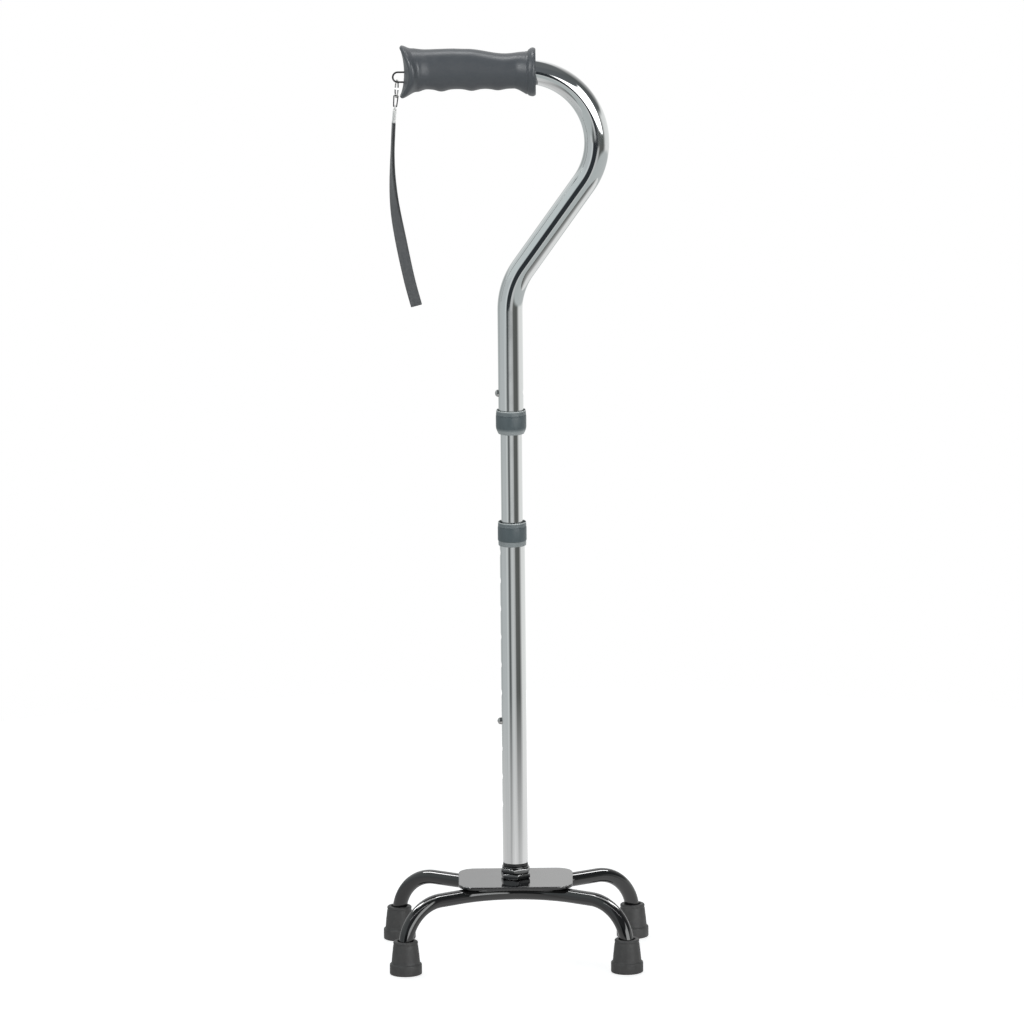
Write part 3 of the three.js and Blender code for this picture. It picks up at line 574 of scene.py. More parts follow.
for row, (foot_x, side) in ROWS.items():
    for hand, sign in (("left", -1), ("right", 1)):
        foot = Vector((sign * foot_x, side * FOOT_Y, 0)) * MM
        tip = turned(TIP_PROFILE, steps=72)
        bmesh.ops.translate(tip, verts=tip.verts, vec=foot)
        finish_piece(tip, f"{row}_{hand}_tip_look", tip_rubber, "base", "tip_rubber", sharp=38)
        disc = turned([(0, DISC_BOTTOM), (DISC_R, DISC_BOTTOM), (DISC_R, DISC_TOP), (0, DISC_TOP)])
        soften(disc, 0.2)
        bmesh.ops.translate(disc, verts=disc.verts, vec=foot)
        finish_piece(disc, f"{row}_{hand}_tip_disc_look", spring_steel, "base", "steel")

# %% [markdown]
# ## Nuts and washers
# Two thin nuts lock the stem, and one holds it from below. A hexagon's corners are chamfered on
# a lathe, which leaves the curved scallops that everyone knows from a real nut. The same steps
# work here: a spun blank with chamfered rims is cut down to the hexagon it shares.

# %% Hex nuts
CHAMFER_SLOPE = math.tan(math.radians(24))
BORE_CHAMFER = 0.4


def hex_nut(flat, bottom, height, turn):
    """A hexagon across its flats, with lathe chamfers and a bore, standing on bottom."""
    corner = flat / 2 / math.cos(math.pi / 6)
    face = flat / 2 * 0.97
    blank_r = corner + 0.3
    drop = (blank_r - face) * CHAMFER_SLOPE
    top = bottom + height
    blank = turned([
        (STUD_HOLE_R, bottom + BORE_CHAMFER), (STUD_HOLE_R + BORE_CHAMFER, bottom),
        (face, bottom), (blank_r, bottom + drop), (blank_r, top - drop), (face, top),
        (STUD_HOLE_R + BORE_CHAMFER, top), (STUD_HOLE_R, top - BORE_CHAMFER),
    ], closed=True)
    prism = bmesh.new()
    place = Matrix.Translation((0, 0, (bottom + top) / 2 * MM)) @ Matrix.Rotation(turn, 4, "Z")
    bmesh.ops.create_cone(
        prism, cap_ends=True, segments=6, radius1=corner * MM, radius2=corner * MM,
        depth=(height + 4) * MM, matrix=place,
    )
    return cut_with(blank, prism, "INTERSECT")


# Each nut is (across flats, bottom, height, turn in degrees). Blender draws a cone's first
# corner on +Y, so a quarter turn back puts it on +X, as in the frame.
NUTS = {
    "base_nut": (24, 70.95, 4.85, 38), "jam_nut": (24, 76.1, 4.4, 24),
    "under_nut": (17, 58.55, 7.0, 0),
}
for name, (flat, bottom, height, degrees) in NUTS.items():
    nut = hex_nut(flat, bottom, height, math.radians(degrees - 90))
    soften(nut, 0.15, above=24)
    finish_piece(nut, f"{name}_look", black_steel, "base", "black_steel", sharp=24)

# %% Washers and the threaded stem
def washer(inner, outer, bottom, top):
    """A flat ring with rounded rims."""
    ring = turned([(inner, bottom), (outer, bottom), (outer, top), (inner, top)], closed=True)
    return soften(ring, 0.25)


finish_piece(washer(STUD_HOLE_R, 11.9, 80.8, 82.0), "stem_washer_look", black_steel, "base",
             "black_steel")
finish_piece(washer(STUD_HOLE_R, 10.0, 65.85, 67.35), "under_washer_look", plated, "base",
             "steel")

STUD_BOTTOM, FLANGE_BOTTOM, FLANGE_TOP, PLUG_TOP = 56.5, 82.3, 84.6, 105.0
THREAD_PITCH, THREAD_R, ROOT_R = 1.5, 5.0, 4.4
stem = [(0, STUD_BOTTOM), (3.9, STUD_BOTTOM), (ROOT_R, STUD_BOTTOM + 0.6)]
crest = STUD_BOTTOM + 1.2
while crest < FLANGE_BOTTOM - 1:
    stem += [(ROOT_R, crest - 0.5), (THREAD_R, crest), (THREAD_R, crest + 0.2)]
    crest += THREAD_PITCH
stem += [
    (4.6, FLANGE_BOTTOM), (10.8, FLANGE_BOTTOM), (11.1, FLANGE_BOTTOM + 0.35),
    (11.1, FLANGE_TOP - 0.35), (10.8, FLANGE_TOP), (9.6, FLANGE_TOP),
    (9.6, PLUG_TOP - 1.2), (8.6, PLUG_TOP), (0, PLUG_TOP),
]
finish_piece(turned(stem, steps=72), "stem_plug_look", black_plastic, "lower_shaft",
             "bush_plastic", sharp=40)

# %% [markdown]
# ## Straight tubes with a row of holes
# The lower tube has ten holes for the snap button, an inch apart, and the middle tube has one
# for each button. Extra rings in the profile, above and below each hole, keep the faces that
# the boolean touches small, so the long mirror-like faces between stay true.

# %% Lower and middle tubes
OUTER_R, MIDDLE_R, TUBE_WALL, HOLE_R = 11.1, 9.525, 1.2, 3.7
INCH = 25.4
LOWER_TUBE = (84.9, 381.0)
MIDDLE_TUBE = (186.5, 548.0)
LOWEST_HOLE, HOLE_COUNT = 137.5, 10
LOWER_BUTTON_Z, UPPER_BUTTON_Z = 213.7, 510.0
BESIDE_HOLE = 6.5
RIM_OUTSIDE, RIM_INSIDE = 0.35, 0.25
DRILL_FROM, DRILL_PAST = 4, 3


def drilled_tube(radius, ends, holes):
    """A tube with rounded rims and holes through its wall on the -X side."""
    bottom, top = ends
    bore = radius - TUBE_WALL
    heights = sorted([z + rise for z in holes for rise in (-BESIDE_HOLE, BESIDE_HOLE)])
    outside = [(radius, z) for z in [bottom + RIM_OUTSIDE, *heights, top - RIM_OUTSIDE]]
    inside = [(bore, z) for _, z in reversed(outside)]
    profile = [(radius - RIM_OUTSIDE, bottom), *outside, (radius - RIM_OUTSIDE, top),
               (bore + RIM_INSIDE, top), *inside, (bore + RIM_INSIDE, bottom)]
    tube = turned(profile, steps=144, closed=True)
    bars = [(HOLE_R, -radius - DRILL_PAST, -DRILL_FROM, 0, z) for z in holes]
    return cut_with(tube, drills(bars))


height_holes = [LOWEST_HOLE + INCH * i for i in range(HOLE_COUNT)]
finish_piece(drilled_tube(OUTER_R, LOWER_TUBE, height_holes), "lower_tube_look", tube_metal,
             "lower_shaft", "tube_metal")
finish_piece(drilled_tube(MIDDLE_R, MIDDLE_TUBE, [LOWER_BUTTON_Z, UPPER_BUTTON_Z]),
             "middle_tube_look", tube_metal, "middle_shaft", "tube_metal")

# %% [markdown]
# ## The swan neck
# The handle tube rises from the upper ring, leans back, and sweeps over into the grip, so that
# the hand sits above the shaft. It is the same pull-and-spin as a leg, with a hole on each side
# for the upper button, so that the handle can be turned for either hand.

# %% Handle tube
HANDLE_BOTTOM, NECK_CORNER_Z, GRIP_Z = 484.0, 605.4, 797.6
NECK_TURN, NECK_BEND_R = math.radians(35.7), 63.5
HANDLE_END_X = -88.5
neck_run = math.tan(NECK_TURN) * (GRIP_Z - NECK_CORNER_Z)
neck_corners = [
    (0, 0, HANDLE_BOTTOM), (0, 0, NECK_CORNER_Z), (neck_run, 0, GRIP_Z), (HANDLE_END_X, 0, GRIP_Z)
]
neck = bent_tube(neck_corners, [NECK_BEND_R] * 2, OUTER_R, TUBE_WALL, sides=128)
soften(neck, 0.3, above=60)
for z in (UPPER_BUTTON_Z - BESIDE_HOLE, UPPER_BUTTON_Z + BESIDE_HOLE):
    everything = [*neck.verts, *neck.edges, *neck.faces]
    bmesh.ops.bisect_plane(neck, geom=everything, plane_co=(0, 0, z * MM), plane_no=(0, 0, 1))
neck = cut_with(neck, drills([
    (HOLE_R, -OUTER_R - DRILL_PAST, -DRILL_FROM, 0, UPPER_BUTTON_Z),
    (HOLE_R, DRILL_FROM, OUTER_R + DRILL_PAST, 0, UPPER_BUTTON_Z),
]))
finish_piece(neck, "handle_tube_look", tube_metal, "handle", "tube_metal", sharp=15)

# %% [markdown]
# ## Lock rings and bushes
# A ring of hard plastic turns round the end of the outer tube and squeezes a bush onto the tube
# inside. Its mouth is a thin cup with a chamfer, and a fine groove runs under it. The bright line
# along the lip and the pale bands on the chamfers are painted highlights. Both rings are spun
# profiles, and the bushes are plain sleeves inside them.

# %% Rings and bushes
UPPER_RING = [
    (9.825, 473.8), (11.0, 473.8), (11.5, 474.1), (12.6, 476.5), (13.2, 478.2), (13.45, 479.7),
    (13.5, 480.6), (13.5, 490.0), (13.4, 490.3), (13.15, 490.4), (13.15, 490.75),
    (13.35, 490.9), (13.3, 491.3), (13.0, 494.1), (12.95, 494.6), (12.85, 495.05), (12.6, 495.2),
    (12.45, 495.0), (12.1, 490.8), (12.1, 475.7), (9.825, 475.7),
]
LOWER_RING = [
    (11.4, 373.1), (11.9, 373.1), (12.2, 373.5), (12.3, 374.3), (12.3, 377.2), (12.4, 377.5),
    (12.7, 377.8), (12.8, 378.3), (12.8, 389.3), (12.72, 389.6), (12.5, 389.7), (12.5, 390.0),
    (12.62, 390.15), (12.6, 390.5), (12.45, 393.4), (12.42, 393.9), (12.3, 394.3), (12.15, 394.4),
    (12.02, 394.2), (11.9, 390), (11.9, 381), (11.4, 381),
]
# Bands of painted highlight on each ring: from one height, to another, and how pale it is.
UPPER_HIGHLIGHTS = ((473, 477, 0.6), (478, 479, 0.2), (491, 494.3, 0.15), (494.5, 495.5, 1.0))
LOWER_HIGHLIGHTS = ((373, 377.4, 0.45), (390.3, 393.6, 0.15), (393.8, 394.5, 1.0))

for level, profile, bands in (("upper", UPPER_RING, UPPER_HIGHLIGHTS), ("lower", LOWER_RING, LOWER_HIGHLIGHTS)):
    ring = turned(profile, steps=128, closed=True)
    rim = ring.verts.layers.float.new("rim")
    # Each point takes the painted highlight's strength of the band its height falls in.
    for vert in ring.verts:
        for low, high, share in bands:
            if low <= vert.co.z / MM <= high:
                vert[rim] = share
    finish_piece(ring, f"{level}_lock_ring_look", ring_plastic, f"{level}_ring", "ring_plastic",
                 sharp=30)
finish_piece(washer(9.825, 11.8, 476.0, 483.7), "upper_bush_look", black_plastic, "handle",
             "bush_plastic")
finish_piece(washer(9.825, 11.6, 381.3, 391.0), "lower_bush_look", black_plastic, "lower_shaft",
             "bush_plastic")

# %% [markdown]
# ## Snap buttons and their springs
# A button is a small plated dome with a shoulder that rests inside the tube. Behind it a
# hairpin of strip steel pushes it out. The dome is spun upright and then laid over, and the
# hairpin starts as one short edge that is pulled down, spun round the bend and pulled up.

# %% Buttons and hairpins
BUTTONS = {"lower": (3.7, LOWER_BUTTON_Z), "upper": (2.9, UPPER_BUTTON_Z)}
BUTTON_R, SHOULDER_R, SHOULDER_AT = 3.3, 4.2, 5.9
DOME_STEPS = 12


def snap_button(reach, z):
    """A domed button along -X. Reach is how far its dome stands out of the outer tube."""
    face = OUTER_R + reach
    dome = min(reach, BUTTON_R) * 0.85
    profile = [(0, SHOULDER_AT), (SHOULDER_R - 0.1, SHOULDER_AT), (SHOULDER_R, SHOULDER_AT + 0.1),
               (SHOULDER_R, SHOULDER_AT + 0.7), (SHOULDER_R - 0.1, SHOULDER_AT + 0.8),
               (BUTTON_R, SHOULDER_AT + 0.8)]
    for i in range(DOME_STEPS + 1):
        angle = i * math.pi / 2 / DOME_STEPS
        profile.append((BUTTON_R * math.cos(angle), face - dome + dome * math.sin(angle)))
    button = turned([*profile[:-1], (0, face)], steps=48)
    lay = Matrix.Translation((0, 0, z * MM)) @ Matrix.Rotation(-math.pi / 2, 4, "Y")
    bmesh.ops.transform(button, matrix=lay, verts=button.verts)
    return button


for level, (reach, z) in BUTTONS.items():
    finish_piece(snap_button(reach, z), f"{level}_button_look", plated, f"{level}_snap",
                 "hardware_chrome", sharp=40)

STRIP_T, STRIP_WIDTH = 0.6, 7.0
STRIP_LEFT, STRIP_RIGHT = -5.6, 7.2
STRIP_ABOVE, STRIP_BELOW = 9.0, 19.5


def hairpin(z):
    """A strip folded once: down, round, and up."""
    bm = bmesh.new()
    left, right = STRIP_LEFT + STRIP_T / 2, STRIP_RIGHT - STRIP_T / 2
    across = (-STRIP_WIDTH / 2, STRIP_WIDTH / 2)
    ends = [bm.verts.new(Vector((left, y, z + STRIP_ABOVE)) * MM) for y in across]
    run = Vector((0, 0, STRIP_ABOVE + STRIP_BELOW)) * MM
    ring = pull(bm, [bm.edges.new(ends)], -run)
    centre = Vector(((left + right) / 2, 0, z - STRIP_BELOW)) * MM
    spun = bmesh.ops.spin(
        bm, geom=ring, cent=centre, axis=(0, -1, 0), angle=math.pi, steps=24, use_merge=False
    )["geom_last"]
    ring = [item for item in spun if isinstance(item, bmesh.types.BMEdge)]
    pull(bm, ring, run)
    bmesh.ops.remove_doubles(bm, verts=bm.verts, dist=1e-7)
    bmesh.ops.recalc_face_normals(bm, faces=bm.faces)
    bmesh.ops.solidify(bm, geom=list(bm.faces), thickness=STRIP_T * MM)
    xs = [v.co.x for v in bm.verts]
    shift = (STRIP_LEFT + STRIP_RIGHT) / 2 * MM - (min(xs) + max(xs)) / 2
    bmesh.ops.translate(bm, verts=bm.verts, vec=(shift, 0, 0))
    return bm


for level, (_, z) in BUTTONS.items():
    finish_piece(hairpin(z), f"{level}_button_spring_look", spring_steel, "middle_shaft", "steel")

# %% [markdown]
# ## The moulded grip
# The grip is soft vinyl pushed over the tube: a waisted body with four finger grooves below, a
# flange by the neck, and a flared heel whose face is dished. Nothing about it is round, so a
# grid is wrapped round the tube's axis. Its height and width along the length come from short
# tables, eased from one pair to the next, and the finger ridges are soft bumps added below.

# %% Grip tables
GRIP_LEFT, GRIP_RIGHT = -94.8, 24.6
GRIP_TOP = [(-94, 23.9), (-85, 21.2), (-73, 20.1), (-49, 20.6), (-36, 20.2), (-2, 15.8),
            (15, 17.2), (22, 20.8), (24.6, 20.4)]
GRIP_BOTTOM = [(-94, 23.1), (-80, 17.4), (-71, 15.2), (5, 15.2), (22, 22.2), (24.6, 21.6)]
GRIP_SIDE = [(-94, 21.5), (-80, 17.0), (-68, 15.6), (6, 15.4), (22, 20.8), (24.6, 20.2)]
FINGER_RIDGES = [(-58.2, 2.1), (-31.6, 1.8), (-8.6, 1.5)]
RIDGE_HALF_LENGTH = 6


def ease(t):
    """0 to 1 with a soft start and a soft end, clamped."""
    t = min(1.0, max(0.0, t))
    return t * t * (3 - 2 * t)


def eased(table, x):
    """A value read from a table, eased from one pair to the next."""
    for (x0, v0), (x1, v1) in zip(table, table[1:]):
        if x <= x1:
            return v0 + (v1 - v0) * ease((x - x0) / (x1 - x0))
    return table[-1][1]


def grip_section(x, angle):
    """The grip's skin at x, as (sideways, up) from the axis. Angle 0 is up."""
    up = math.cos(angle)
    height = eased(GRIP_TOP if up > 0 else GRIP_BOTTOM, x)
    if up < 0:
        for ridge_x, ridge in FINGER_RIDGES:
            height += ridge * math.exp(-(((x - ridge_x) / RIDGE_HALF_LENGTH) ** 2)) * up * up
    return eased(GRIP_SIDE, x) * math.sin(angle), height * up


# %% Grip
HEEL_ROUND, HEEL_FADE, HEEL_DISH = 24.0, 30.0, 3.8
BORE_R, MOUTH_R, MOUTH_DEPTH, BORE_END = 11.4, 12.8, 14.0, -88.8
RIM_ROLL, HEEL_R = 2.4, 22
SKIN_STEPS = 170
# Stations are (share of the section, x, bore radius or None): heel face, rolled rim, skin,
# flange, mouth and bore.
stations = [(share, GRIP_LEFT, None) for share in (0, 0.2, 0.35, 0.5, 0.6, 0.7, 0.78, 0.84, 0.88)]
for degrees in range(0, 90, 10):
    angle = math.radians(degrees)
    share = 1 - RIM_ROLL / HEEL_R * (1 - math.sin(angle))
    stations.append((share, GRIP_LEFT + RIM_ROLL * (1 - math.cos(angle)), None))
skin_start, skin_end = GRIP_LEFT + RIM_ROLL, GRIP_RIGHT - 0.9
for i in range(SKIN_STEPS):
    stations.append((1, skin_start + (skin_end - skin_start) * i / SKIN_STEPS, None))
stations += [(0.985, GRIP_RIGHT - 0.45, None), (0.95, GRIP_RIGHT, None), (0.8, GRIP_RIGHT, None)]
stations += [(0, GRIP_RIGHT, MOUTH_R), (0, GRIP_RIGHT - MOUTH_DEPTH, BORE_R)]
stations += [(0, BORE_END, BORE_R), (0, BORE_END, 0)]


LINE_AT, LINE_DEPTH, LINE_WIDTH = 17.4, 0.75, 0.6


def grip_point(u, v):
    """The grip's skin, with a thin moulded line a few millimetres short of the flange's rim."""
    angle = FULL_TURN * u
    share, x, bore = stations[round(v * (len(stations) - 1))]
    if bore is not None:
        return Vector((x, bore * math.sin(angle), GRIP_Z + bore * math.cos(angle))) * MM
    side, up = grip_section(x, angle)
    line = LINE_DEPTH * math.exp(-(((x - LINE_AT) / LINE_WIDTH) ** 2))
    share_left = share * (1 - line / max(math.hypot(side, up), 1))
    side, up = share_left * side, share_left * up
    fade = 1 - ease((x - GRIP_LEFT) / HEEL_FADE)
    x += side**2 / (2 * HEEL_ROUND) * fade
    if x < GRIP_LEFT + 12 and share < 1:
        x += HEEL_DISH * max(0.0, 1 - (share / 0.9) ** 2) ** 0.8
    return Vector((x, side, GRIP_Z + up)) * MM


EYE_Z, EYE_R, EYE_WIRE_R = 793.3, 4.4, 0.8
PLUG_R, PLUG_LENGTH = 9.6, 18.5


def eye_holes(start, end):
    """Bars to drill the two holes that the wire eye's legs go into."""
    return drills([(EYE_WIRE_R + 0.3, start, end, 0, EYE_Z + s * EYE_R) for s in (1, -1)], 24)


grip = wrapped(112, len(stations) - 1, grip_point)
grip = cut_with(grip, eye_holes(GRIP_LEFT - 5, BORE_END + 2))
finish_piece(grip, "grip_look", grip_vinyl, "handle", "grip_vinyl", sharp=50)

plug = turned([
    (0, 0), (PLUG_R - 0.4, 0), (PLUG_R, 0.4), (PLUG_R, PLUG_LENGTH - 0.4),
    (PLUG_R - 0.4, PLUG_LENGTH), (0, PLUG_LENGTH),
], steps=64)
lay = Matrix.Translation(Vector((HANDLE_END_X, 0, GRIP_Z)) * MM)
lay = lay @ Matrix.Rotation(math.pi / 2, 4, "Y")
bmesh.ops.transform(plug, matrix=lay, verts=plug.verts)
plug = cut_with(plug, eye_holes(-95, -77.7))
finish_piece(plug, "grip_plug_look", black_plastic, "handle", "bush_plastic")

# %% [markdown]
# ## Fittings of the wrist strap
# A bent wire eye stands out of the heel. A split ring hangs in it, a small link hangs in the
# ring, and a crimped ferrule holds the strap. Wire is pulled round bends. The split ring is
# two turns of a spring, so its section is spun twice round with a small rise.

# %% Eye
EYE_IN_X, EYE_OUT_X = -78, -100.9
eye_corners = [(EYE_IN_X, 0, EYE_Z + EYE_R), (EYE_OUT_X, 0, EYE_Z + EYE_R),
               (EYE_OUT_X, 0, EYE_Z - EYE_R), (EYE_IN_X, 0, EYE_Z - EYE_R)]
eye = pulled_along(eye_corners, [EYE_R - 0.05] * 2, EYE_WIRE_R, sides=24, degrees_per_step=7.5)
bmesh.ops.holes_fill(eye, edges=[e for e in eye.edges if e.is_boundary], sides=0)
finish_piece(eye, "strap_eye_look", dark_plated, "handle", "hardware_chrome")

# %% Hanging fittings
# The ring, link and ferrule are shaped hanging straight down from the origin, then placed.
HANG_POINT, HANG_ANGLE = Vector((-96.9, 0, 790.65)), math.radians(5.5)
HANG = Matrix.Translation(HANG_POINT * MM) @ Matrix.Rotation(HANG_ANGLE, 4, "Y")
RING_TWIST = math.radians(9)
RING_R, COIL_HALF, COIL_WIRE = 7.6, 0.31, 0.62


def coil(u, v):
    """Two turns of flattened wire, one beside the other, with a crossing at the join."""
    turn = 2 * FULL_TURN * v
    rise = -COIL_HALF + 2 * COIL_HALF * min(1.0, max(0.0, (v - 0.46) / 0.08))
    round_u = FULL_TURN * u
    out = RING_R + COIL_WIRE * max(-0.85, min(0.85, 1.2 * math.cos(round_u)))
    x = rise + COIL_HALF * 0.94 * max(-0.9, min(0.9, 1.2 * math.sin(round_u)))
    return Vector((x, out * math.sin(turn), -RING_R + out * math.cos(turn))) * MM


split_ring = wrapped(16, 220, coil)
bmesh.ops.rotate(split_ring, verts=split_ring.verts, matrix=Matrix.Rotation(RING_TWIST, 3, "Z"))
bmesh.ops.transform(split_ring, matrix=HANG, verts=split_ring.verts)
finish_piece(split_ring, "strap_ring_look", plated, "ring", "hardware_chrome", sharp=60)

LINK_TOP, LINK_BOTTOM, LINK_WIRE_R = -13.7, -23.6, 0.55
LINK_WIDE, LINK_NARROW = 1.85, 1.35
link_corners = [(0, 0, LINK_TOP), (LINK_WIDE, 0, LINK_TOP), (LINK_NARROW, 0, LINK_BOTTOM),
                (-LINK_NARROW, 0, LINK_BOTTOM), (-LINK_WIDE, 0, LINK_TOP), (0, 0, LINK_TOP)]
link = pulled_along(link_corners, [0.7] * 4, LINK_WIRE_R, sides=16, degrees_per_step=9)
bmesh.ops.remove_doubles(link, verts=link.verts, dist=2e-6)
bmesh.ops.transform(link, matrix=HANG, verts=link.verts)
finish_piece(link, "strap_link_look", dark_plated, "link", "hardware_chrome")

FERRULE_TOP = -26.0
FERRULE = Vector((3.2, 10.6, 11.6))
FERRULE_NECK = Vector((1.0, 2.2, 2.0))
FERRULE_EYE_R, FERRULE_EYE_WIRE_R = 1.5, 0.4
CRIMP_AT, CRIMP_HALF, CRIMP_DEPTH = 0.2, 0.09, 0.08
ferrule = bmesh.new()
bmesh.ops.create_cube(ferrule, size=MM)
bmesh.ops.scale(ferrule, verts=ferrule.verts, vec=FERRULE)
bmesh.ops.subdivide_edges(
    ferrule, edges=[e for e in ferrule.edges if abs(e.verts[0].co.z - e.verts[1].co.z) > MM],
    cuts=6, use_grid_fill=True,
)
for vert in ferrule.verts:
    height = vert.co.z / MM / FERRULE.z
    pinch = math.exp(-(((abs(height) - CRIMP_AT) / CRIMP_HALF) ** 2))
    vert.co.x *= 1 - CRIMP_DEPTH * pinch
place = Matrix.Translation((0, 0, (FERRULE_TOP - FERRULE.z / 2) * MM))
bmesh.ops.transform(ferrule, matrix=place, verts=ferrule.verts)
soften(ferrule, 0.7, segments=4, above=60)
bmesh.ops.transform(ferrule, matrix=HANG, verts=ferrule.verts)


def ferrule_eye(u, v):
    """A closed ring of wire through the foot of the link."""
    out = FERRULE_EYE_R + FERRULE_EYE_WIRE_R * math.cos(FULL_TURN * u)
    x = FERRULE_EYE_WIRE_R * math.sin(FULL_TURN * u)
    turn = FULL_TURN * v
    up = LINK_BOTTOM - 0.2 + out * math.cos(turn)
    return HANG @ (Vector((x, out * math.sin(turn), up)) * MM)


ferrule_neck = bmesh.new()
bmesh.ops.create_cube(ferrule_neck, size=MM)
bmesh.ops.scale(ferrule_neck, verts=ferrule_neck.verts, vec=FERRULE_NECK)
soften(ferrule_neck, 0.25)
place = HANG @ Matrix.Translation((0, 0, (FERRULE_TOP + 0.3) * MM))
bmesh.ops.transform(ferrule_neck, matrix=place, verts=ferrule_neck.verts)
ferrule = cut_with(ferrule, ferrule_neck, "UNION")
ferrule = cut_with(ferrule, wrapped(16, 40, ferrule_eye), "UNION")
finish_piece(ferrule, "strap_ferrule_look", satin, "strap", "hardware_chrome")

# %% [markdown]
# ## The webbing strap
# The strap is one length of flat webbing, folded in half and crimped. Both halves hang together
# in a slow curve and turn a quarter turn, so they are modelled as one band that goes down one
# side and comes back up the other. Each point also keeps how far along and across the webbing
# it is, in millimetres, and the weave is drawn on those numbers.

# %% Strap centreline
STRAP_WIDTH, STRAP_T, PLY_T = 10.0, 2.8, 1.25
DENSE_STEPS = 100
strap_top = HANG @ (Vector((0, 0, FERRULE_TOP - FERRULE.z - 0.3)) * MM) / MM
strap_points = [strap_top] + [Vector(p) for p in (
    (-101.9, 0, 724.5), (-101.9, 0, 700), (-99.9, 0, 674.7), (-94.5, 0, 642.9),
    (-88.2, 0, 612), (-82.3, 0, 589),
)]


def smooth_line(points, samples=600):
    """A smooth line through points, as equal steps of (point, direction)."""
    padded = [2 * points[0] - points[1], *points, 2 * points[-1] - points[-2]]
    dense = []
    for a, b, c, d in zip(padded, padded[1:], padded[2:], padded[3:]):
        for k in range(DENSE_STEPS):
            t = k / DENSE_STEPS
            dense.append(0.5 * (2 * b + (c - a) * t + (2 * a - 5 * b + 4 * c - d) * t * t
                                + (3 * b - a - 3 * c + d) * t**3))
    dense.append(points[-1])
    lengths = [0.0]
    for p, q in zip(dense, dense[1:]):
        lengths.append(lengths[-1] + (q - p).length)
    line, at = [], 0
    for i in range(samples + 1):
        want = lengths[-1] * i / samples
        while at < len(lengths) - 2 and lengths[at + 1] < want:
            at += 1
        f = (want - lengths[at]) / (lengths[at + 1] - lengths[at])
        line.append((dense[at].lerp(dense[at + 1], f), (dense[at + 1] - dense[at]).normalized()))
    return line, lengths[-1]


strap_line, strap_length = smooth_line(strap_points)
print("strap hangs", round(strap_length, 1), "mm below the ferrule")


# %% Strap band
PLY_STEPS, FOLD_STEPS = 150, 14
ROWS_ROUND = 2 * PLY_STEPS + FOLD_STEPS
TWIST_AT_TOP, TWIST_FROM, TWIST_OVER = 0.06, 0.1, 0.75
fold_r = (STRAP_T - PLY_T) / 2
fold_start = strap_length - STRAP_T / 2
flat_length = 2 * fold_start + math.pi * fold_r


def strap_frame(distance):
    """The place of the strap's middle, its direction, and the way across and through it."""
    share = min(1.0, distance / strap_length)
    place, along = strap_line[round(share * (len(strap_line) - 1))]
    twist = TWIST_AT_TOP + (1 - TWIST_AT_TOP) * ease((share - TWIST_FROM) / TWIST_OVER)
    across = Matrix.Rotation(-math.pi / 2 * twist, 3, along) @ Vector((0, 1, 0))
    return place, along, across, along.cross(across)


band_marks = {}


def squared(value, power):
    """A cosine or sine with its curve flattened towards a square wave."""
    return math.copysign(abs(value) ** power, value)


def strap_point(u, v):
    """u goes round the ply's section, v goes down one side, round the fold and back."""
    row = round(v * ROWS_ROUND)
    if row <= PLY_STEPS:
        down, fold = fold_start * row / PLY_STEPS, 0.0
        travelled = down
    elif row >= PLY_STEPS + FOLD_STEPS:
        down, fold = fold_start * (ROWS_ROUND - row) / PLY_STEPS, math.pi
        travelled = flat_length - down
    else:
        down, fold = fold_start, math.pi * (row - PLY_STEPS) / FOLD_STEPS
        travelled = fold_start + fold_r * fold
    place, along, across, through = strap_frame(down)
    wide = STRAP_WIDTH / 2 * squared(math.cos(FULL_TURN * u), 0.16)
    thick = PLY_T / 2 * squared(math.sin(FULL_TURN * u), 0.5)
    off = math.cos(fold) * (fold_r + thick)
    deep = math.sin(fold) * (fold_r + thick)
    at = (place + across * wide + through * off + along * deep) * MM
    band_marks[tuple(round(c, 7) for c in at)] = (wide, travelled)
    return at


strap = wrapped(28, ROWS_ROUND, strap_point)
weave_layer = strap.verts.layers.float_vector.new("weave")
for vert in strap.verts:
    wide, travelled = band_marks.get(tuple(round(c, 7) for c in vert.co), (0, 0))
    vert[weave_layer] = (wide, travelled, 0)

# %% [markdown]
# ## The weave
# Webbing is a dense plain weave: ribs across it, each broken into short stitches that step from
# row to row. Two waves, one along and one across, make that pattern from the numbers kept on
# the band. The same height bumps the surface and sets its colour: painted shade in the hollows
# and painted light on the thread tops. The selvedge at each side is darker and denser.

# %% Webbing material
RIB_MM, STITCH_MM = 0.9, 1.1
WEAVE_HOLLOW_SHADE, WEAVE_TOP_LIGHT = (0.038, 0.040, 0.043), (0.125, 0.130, 0.137)
SELVEDGE_DARK = (0.028, 0.03, 0.032)
webbing, tree, shader = new_material("Webbing", Roughness=0.85, Sheen_Weight=0.25,
                                     Sheen_Roughness=0.5)


def humps(value):
    """One round hump for every whole step of a value."""
    wave = math_node(tree, "SINE", math_node(tree, "MULTIPLY", value, math.pi))
    return math_node(tree, "ABSOLUTE", wave)


kept = add(tree, "ShaderNodeAttribute", attribute_name="weave").outputs["Vector"]
split = add(tree, "ShaderNodeSeparateXYZ", {0: kept}).outputs
row = math_node(tree, "DIVIDE", split["Y"], RIB_MM)
odd_row = math_node(tree, "PINGPONG", math_node(tree, "FLOOR", row), 1.0)
stitch = math_node(tree, "DIVIDE", split["X"], STITCH_MM)
stitch = math_node(tree, "MULTIPLY_ADD", odd_row, 0.5, stitch)
height = math_node(tree, "MULTIPLY", humps(row), math_node(tree, "POWER", humps(stitch), 0.5))
